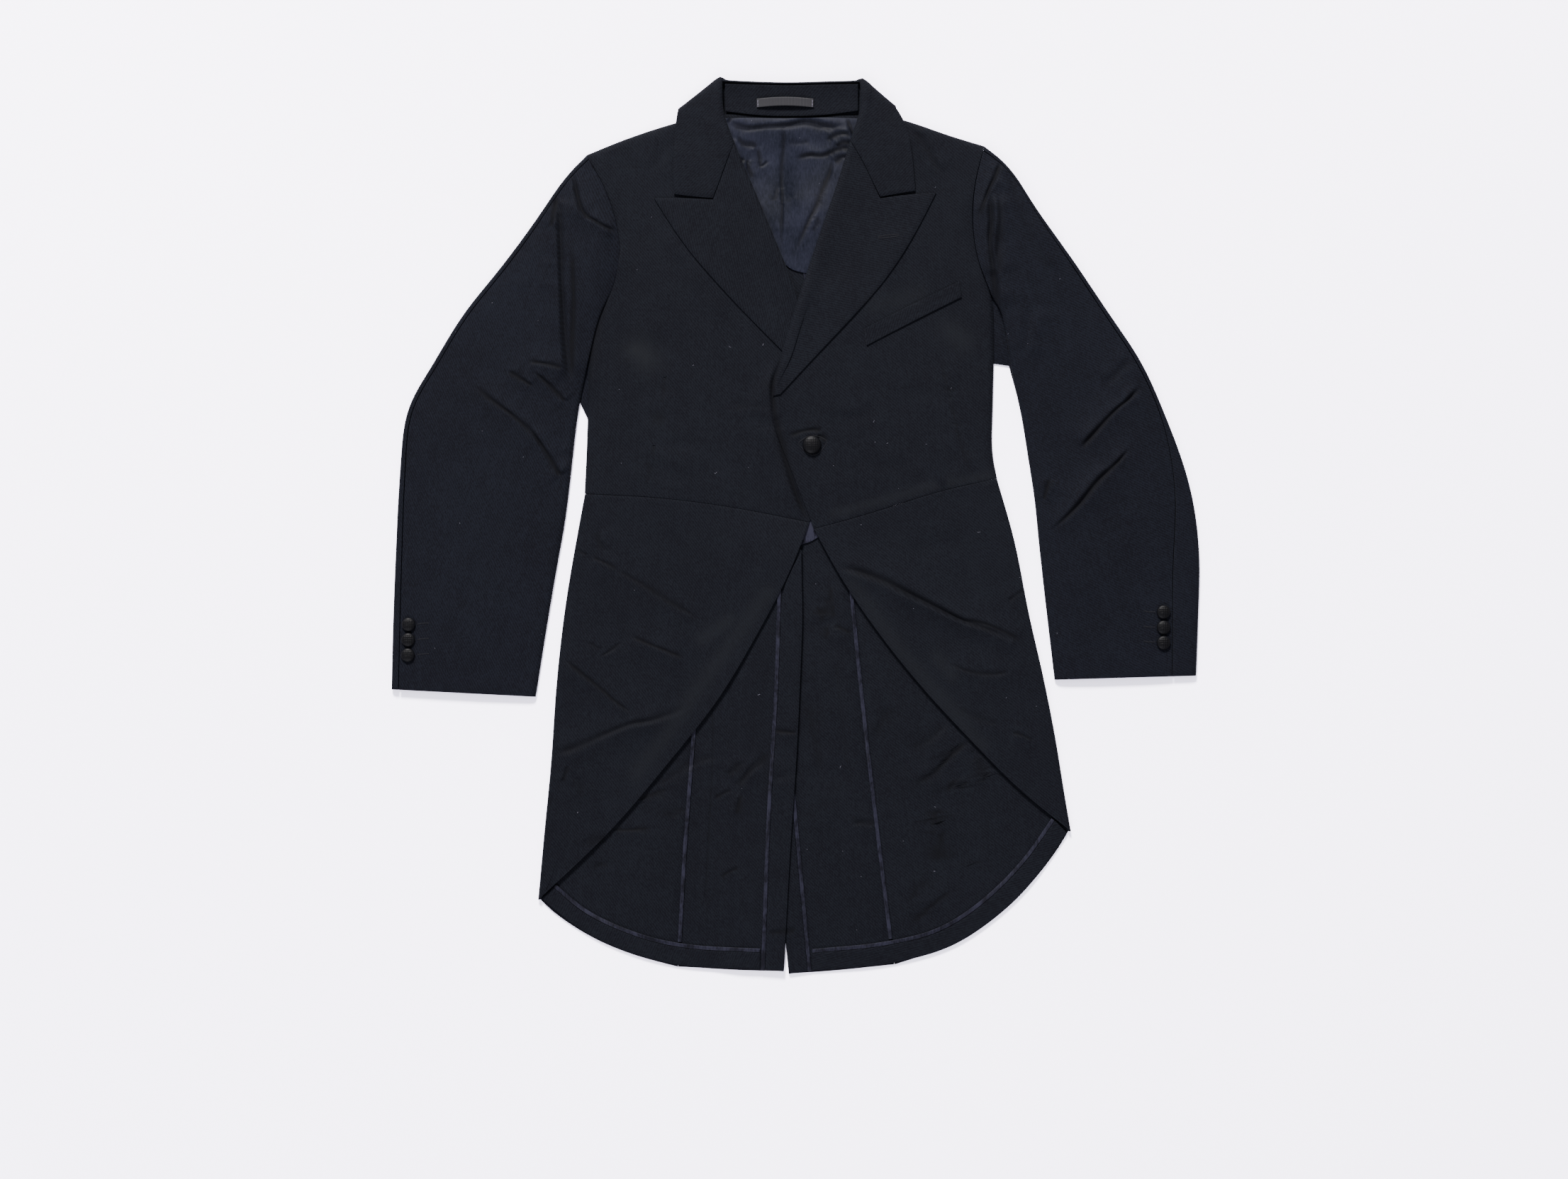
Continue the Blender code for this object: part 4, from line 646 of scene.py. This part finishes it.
def satin(name, dark, light, grain=0.0, gloss=0.62, blotch=0.13, cloudy=24.0):
    """Warp satin of fine filament: smooth, with a soft directional shine and thin streaks
    along the warp; painted shade darkens its crease troughs. A small blotch gives strong cloudy patches."""
    material, tree, shader = new_material(name, Roughness=gloss)
    shader.inputs["Specular IOR Level"].default_value = 0.03
    shader.inputs["Anisotropic"].default_value = 0.4
    place = add_node(tree, "TexCoord")
    turned = add_node(tree, "Mapping", {"Rotation": (0, 0, math.radians(grain)), "Scale": (1.0, 0.3, 1.0)},
                      {"Vector": place.outputs["Object"]})
    streak = add_node(tree, "TexNoise", {"Scale": 560.0, "Detail": 3.0, "Roughness": 0.7}, {"Vector": turned.outputs["Vector"]})
    cloud = add_node(tree, "TexNoise", {"Scale": cloudy, "Detail": 3.0}, {"Vector": place.outputs["Object"]})
    shade = add_node(tree, "Mix", {"Factor": 0.5}, {"A": cloud.outputs["Fac"], "B": streak.outputs["Fac"]},
                     data_type="FLOAT")
    stretch = add_node(tree, "MapRange", {"From Min": 0.5 - blotch, "From Max": 0.5 + blotch},
                       {"Value": shade.outputs["Result"]})
    tint = add_node(tree, "Mix", {"A": linear(dark), "B": linear(light)},
                    {"Factor": stretch.outputs["Result"]}, data_type="RGBA")
    # Painted shade: the colour is darkened in the crease troughs.
    crease_shade = add_node(tree, "Attribute", attribute_name="crushed_nap")
    tint = add_node(tree, "Mix", {"B": linear(CREASE_SHADE_COLOUR)},
                    {"Factor": crease_shade.outputs["Fac"], "A": tint.outputs["Result"]}, data_type="RGBA")
    relief = add_node(tree, "Bump", {"Strength": 0.25, "Distance": 0.15 * MM},
                      {"Height": streak.outputs["Fac"]})
    tree.links.new(tint.outputs["Result"], shader.inputs["Base Color"])
    tree.links.new(relief.outputs["Normal"], shader.inputs["Normal"])
    return material


back_lining = press(cut_cloth("back_lining", 2), LINING_CREASES, [], 0.3)
finish_cloth(back_lining, "back_lining", satin("navy_lining_satin", "#030408", "#0c0d14"))
waist_lining = press(cut_cloth("waist_lining", 3), FLOOR_CREASES)
finish_cloth(waist_lining, "waist_lining", satin("navy_waist_satin", "#030306", "#101017", 30.0, 0.5, 0.05, 90.0))

# ---- Tail insides ----
# The vents and hem are faced with the coat's own cloth, and the raw edges of facings and
# seams are bound with narrow satin, a few millimetres wide.

FACINGS = [
    Panel("vent_facing_right", 3, 2.0, (0.0245, 0.446), 0.00995, "back_right_cloth"),
    Panel("vent_facing_left", 3, -5.0, (0.0240, 0.400), 0.00860, "back_left_cloth"),
    Panel("hem_facing_right", 3, 70.0, (0.250, 0.0250), 0.00455, "back_right_cloth"),
    Panel("hem_facing_left", 3, -60.0, (0.330, 0.0250), 0.00635, "back_left_cloth"),
]
BINDINGS = ["vent_binding_right", "vent_binding_left", "hem_binding_right", "hem_binding_left",
            "seam_binding_right", "seam_binding_left"]
BINDING_GRAIN = {"vent": 2.0, "seam": 4.0, "hem": 80.0}
for name in BINDINGS:
    strip = press(cut_cloth(name, 2), FLOOR_CREASES)
    finish_cloth(strip, name, satin("binding_satin_" + name, "#040407", "#0e0e15",
                                    BINDING_GRAIN[name.split("_")[0]], 0.5, 0.09, 70.0))
for row in FACINGS:
    panel = press(cut_cloth(row.node, row.levels), FLOOR_CREASES)
    finish_cloth(panel, row.node, worsted("worsted_" + row.node, row.grain))

# ---- Buttons ----
# Domed shells covered in black basket-woven silk: one on the front, three at each cuff.

silk_cover, tree, shader = new_material("basket_silk", Roughness=0.5)
shader.inputs["Specular IOR Level"].default_value = 0.035
place = add_node(tree, "TexCoord")
fibre = add_node(tree, "TexNoise", {"Scale": 1800.0, "Detail": 2.0}, {"Vector": place.outputs["Object"]})
tint = add_node(tree, "Mix", {"A": linear("#010102"), "B": linear("#030304")},
                {"Factor": fibre.outputs["Fac"]}, data_type="RGBA")
# Painted shade: the low gaps between the woven strips are darkened towards black.
gap = add_node(tree, "Attribute", attribute_name="gap_of_weave")
tint = add_node(tree, "Mix", {"B": linear("#000000")},
                {"Factor": gap.outputs["Fac"], "A": tint.outputs["Result"]}, data_type="RGBA")
tree.links.new(tint.outputs["Result"], shader.inputs["Base Color"])

STRIP = 2.3  # mm, a woven strip of the cover


def basket(x, y):
    """Height of the basket weave, 0 to 1: strips pass over and under in turn."""
    across, down = x / STRIP, y / STRIP
    i, j = np.floor(across), np.floor(down)
    u, v = across - i - 0.5, down - j - 0.5
    over = (i + j) % 2 == 0
    along, side = np.where(over, u, v), np.where(over, v, u)
    return np.sqrt(np.clip(1 - (2.05 * side) ** 2, 0, 1)) * (0.55 + 0.45 * np.cos(math.pi * along))


def sew_button(node):
    """A ball, cut flat below and pressed to a dome, with the weave raised on it."""
    low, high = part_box(node)
    middle = (Vector(low) + Vector(high)) / 2
    radius, tall = (high[0] - low[0]) / 2, high[2] - low[2]
    bpy.ops.object.select_all(action="DESELECT")
    bpy.ops.mesh.primitive_uv_sphere_add(segments=64, ring_count=40, radius=radius - 0.2 * MM)
    dome = bpy.context.object
    dome.name = node + "_covered"
    bpy.ops.object.mode_set(mode="EDIT")
    bpy.ops.mesh.select_all(action="SELECT")
    bpy.ops.mesh.bisect(plane_co=(0, 0, -0.25 * radius), plane_no=(0, 0, -1), use_fill=True, clear_outer=True)
    bpy.ops.object.mode_set(mode="OBJECT")
    weave_gap_shades = dome.data.attributes.new("gap_of_weave", "FLOAT", "POINT")
    for vertex in dome.data.vertices:
        p = vertex.co
        reach = math.hypot(p.x, p.y) / radius
        woven = min(1, max(0, (0.8 - reach) * 8))
        high_up = (p.z / radius + 0.25) / 1.25
        rise = float(basket(np.array(p.x / MM + 0.4), np.array(p.y / MM + 0.3)))
        out = 0.45 * MM * (rise * woven + 0.6 * (1 - woven)) * min(1, max(0, high_up) * 5)
        # Painted shade: darker where the weave lies low, between the strips.
        weave_gap_shades.data[vertex.index].value = woven * (1 - rise) ** 1.5
        vertex.co = (middle.x + p.x, middle.y + p.y,
                     low[2] + (tall - 0.45 * MM) * max(0, high_up) ** 0.85 + out)
    for face in dome.data.polygons:
        face.use_smooth = True
    dome.data.materials.append(silk_cover)
    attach(dome, "root")
    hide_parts(node)
    return dome


for node in ["front_button"] + ["cuff_button_%s_%d" % (side, number)
                                for side in ("right", "left") for number in (1, 2, 3)]:
    sew_button(node)

# ---- Buttonholes and sewing ----
# Worked buttonholes of black silk twist on the front, the left lapel and the cuffs, and
# the loop's ends sewn down with pale thread. Each is a row of small stitches.

Row = namedtuple("Row", "name cloth start end bow stitch spacing thick tint")
LIPS = [
    Row("front_hole_low", "forepart_left", (3.5, 86), (33, 88), -12.5, 2.0, 0.75, 0.5, "silk"),
    Row("front_hole_high", "forepart_left", (3.5, 87), (33, 89), 6.5, 2.0, 0.75, 0.5, "silk"),
    Row("lapel_hole_low", "lapel_left", (87.5, 303), (109.5, 305.6), -0.6, 1.5, 0.7, 0.45, "silk"),
    Row("lapel_hole_high", "lapel_left", (87.5, 304.4), (109.5, 307), 0.6, 1.5, 0.7, 0.45, "silk"),
]
for number, high in enumerate((-104.5, -120.7, -136.8), 1):
    LIPS.append(Row("cuff_hole_right_%d" % number, "top_sleeve_right", (-399, high), (-386.5, high + 1.2),
                    0.4, 1.9, 0.9, 0.55, "silk"))
for number, high in enumerate((-91.4, -107.5, -123.1), 1):
    LIPS.append(Row("cuff_hole_left_%d" % number, "top_sleeve_left", (379.5, high), (367, high + 1.0),
                    0.4, 1.9, 0.9, 0.55, "silk"))
LIPS += [
    Row("loop_end_right", "hanger_loop", (-39.6, 441.2), (-39.9, 448.6), 0, 1.2, 1.4, 0.4, "cotton"),
    Row("loop_end_left", "hanger_loop", (17.7, 441.2), (18.0, 448.6), 0, 1.2, 1.4, 0.4, "cotton"),
]
threads = {"silk": new_material("silk_twist", Roughness=0.6, Specular_IOR_Level=0.05,
                                Base_Color=linear("#09090c"))[0],
           "cotton": new_material("pale_cotton_thread", Roughness=0.8, Specular_IOR_Level=0.1, Base_Color=linear("#4a4852"))[0]}
made_panels = {**foreparts, **skirts, **sleeves, **collar, **lapels, **back_panels, "hanger_loop": loop,
               "back_lining": back_lining}


def on_top(panel, x, y):
    """Height in mm of the panel's upper face below (x, y)."""
    hit, place, normal, face = panel.ray_cast(Vector((x * MM, y * MM, 0.2)), Vector((0, 0, -1)))
    return place.z / MM if hit else None


def sew_row(row):
    """A row of stitches: short spindles of thread across the line, half sunk in the cloth."""
    start, end = np.array(row.start, float), np.array(row.end, float)
    length = math.dist(start, end)
    along = (end - start) / length
    across = np.array([-along[1], along[0]])
    points, faces = [], []
    for k in range(int(length / row.spacing) + 1):
        t = k * row.spacing / length
        middle = start + along * t * length + across * row.bow * math.sin(math.pi * t) ** 0.8
        height = on_top(made_panels[row.cloth], *middle)
        if height is None:
            continue
        lean = across * math.cos(0.15 * math.sin(k)) + along * math.sin(0.15 * math.sin(k))
        beside = np.array([-lean[1], lean[0]])
        first = len(points)
        for place, girth in ((-0.5, 0.3), (-0.25, 1.0), (0.25, 1.0), (0.5, 0.3)):
            for turn in range(6):
                angle = math.tau * turn / 6
                spot = middle + lean * place * row.stitch + beside * girth * row.thick / 2 * math.cos(angle)
                lift = height + 0.2 + girth * row.thick / 2 * math.sin(angle)
                points.append((spot[0] * MM, spot[1] * MM, lift * MM))
        for ring in range(3):
            for turn in range(6):
                a, b = first + ring * 6 + turn, first + ring * 6 + (turn + 1) % 6
                faces.append((a, b, b + 6, a + 6))
        faces.append([first + turn for turn in reversed(range(6))])
        faces.append([first + 18 + turn for turn in range(6)])
    mesh = bpy.data.meshes.new(row.name)
    mesh.from_pydata(points, [], faces)
    for face in mesh.polygons:
        face.use_smooth = True
    mesh.materials.append(threads[row.tint])
    stitches = bpy.data.objects.new(row.name, mesh)
    bpy.context.collection.objects.link(stitches)
    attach(stitches, "root")
    return stitches


for row in LIPS:
    sew_row(row)

# The centre back seam's binding peeps out below the lining's hem.
SEAM_END = [(9.4, 268.0), (10.6, 262.0), (11.6, 256.0), (12.2, 251.0)]
points, faces = [], []
for k, (x, y) in enumerate(SEAM_END):
    for across in (-1.4, 1.4):
        for lift in (0.25, 0.75):
            points.append(((x + across) * MM, y * MM, ((on_top(back_panels["back_left"], x, y) or 2.0) + lift) * MM))
    if k:
        a = 4 * (k - 1)
        faces += [(a, a + 4, a + 6, a + 2), (a + 1, a + 3, a + 7, a + 5),
                  (a, a + 1, a + 5, a + 4), (a + 2, a + 6, a + 7, a + 3)]
faces += [(0, 2, 3, 1), (12, 13, 15, 14)]
mesh = bpy.data.meshes.new("centre_seam_binding")
mesh.from_pydata(points, [], faces)
mesh.materials.append(satin("binding_satin_centre", "#040407", "#0e0e15", 4.0, 0.5, 0.09, 70.0))
seam_end = bpy.data.objects.new("centre_seam_binding", mesh)
bpy.context.collection.objects.link(seam_end)
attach(seam_end, "root")

# ---- Lint ----
# A few short pale fibres have settled on the dark cloth.

LINT = 70
points, faces = [], []
for k in range(LINT):
    turn = [math.modf(abs(math.sin(12.9898 * (k + 1) * (n + 1) + 4.1 * n)) * 43758.5453)[0] for n in range(6)]
    x, y, long_ = -430 + 860 * turn[0], -440 + 880 * turn[1], 0.8 + 2.2 * turn[2] ** 3
    heights = [on_top(panel, x, y) for panel in made_panels.values()]
    heights = [h for h in heights if h is not None]
    if not heights:
        continue
    angle, curl = math.tau * turn[3], 1.6 * (turn[4] - 0.5)
    first = len(points)
    for step in range(4):
        swing = angle + curl * step / 3
        spot = np.array([x, y]) + np.array([math.cos(swing), math.sin(swing)]) * long_ * step / 3
        side = np.array([-math.sin(swing), math.cos(swing)]) * 0.11
        for edge, lift in ((side, 0.15), (-side, 0.15), (side * 0, 0.32)):
            points.append(((spot[0] + edge[0]) * MM, (spot[1] + edge[1]) * MM, (max(heights) + lift) * MM))
    for step in range(3):
        for edge in range(3):
            a, b = first + step * 3 + edge, first + step * 3 + (edge + 1) % 3
            faces.append((a, b, b + 3, a + 3))
    faces += [(first, first + 2, first + 1), (first + 9, first + 10, first + 11)]
mesh = bpy.data.meshes.new("lint")
mesh.from_pydata(points, [], faces)
mesh.materials.append(new_material("pale_lint_fibre", Roughness=0.9, Specular_IOR_Level=0.1,
                                   Base_Color=linear("#45444c"))[0])
lint = bpy.data.objects.new("lint", mesh)
bpy.context.collection.objects.link(lint)
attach(lint, "root")
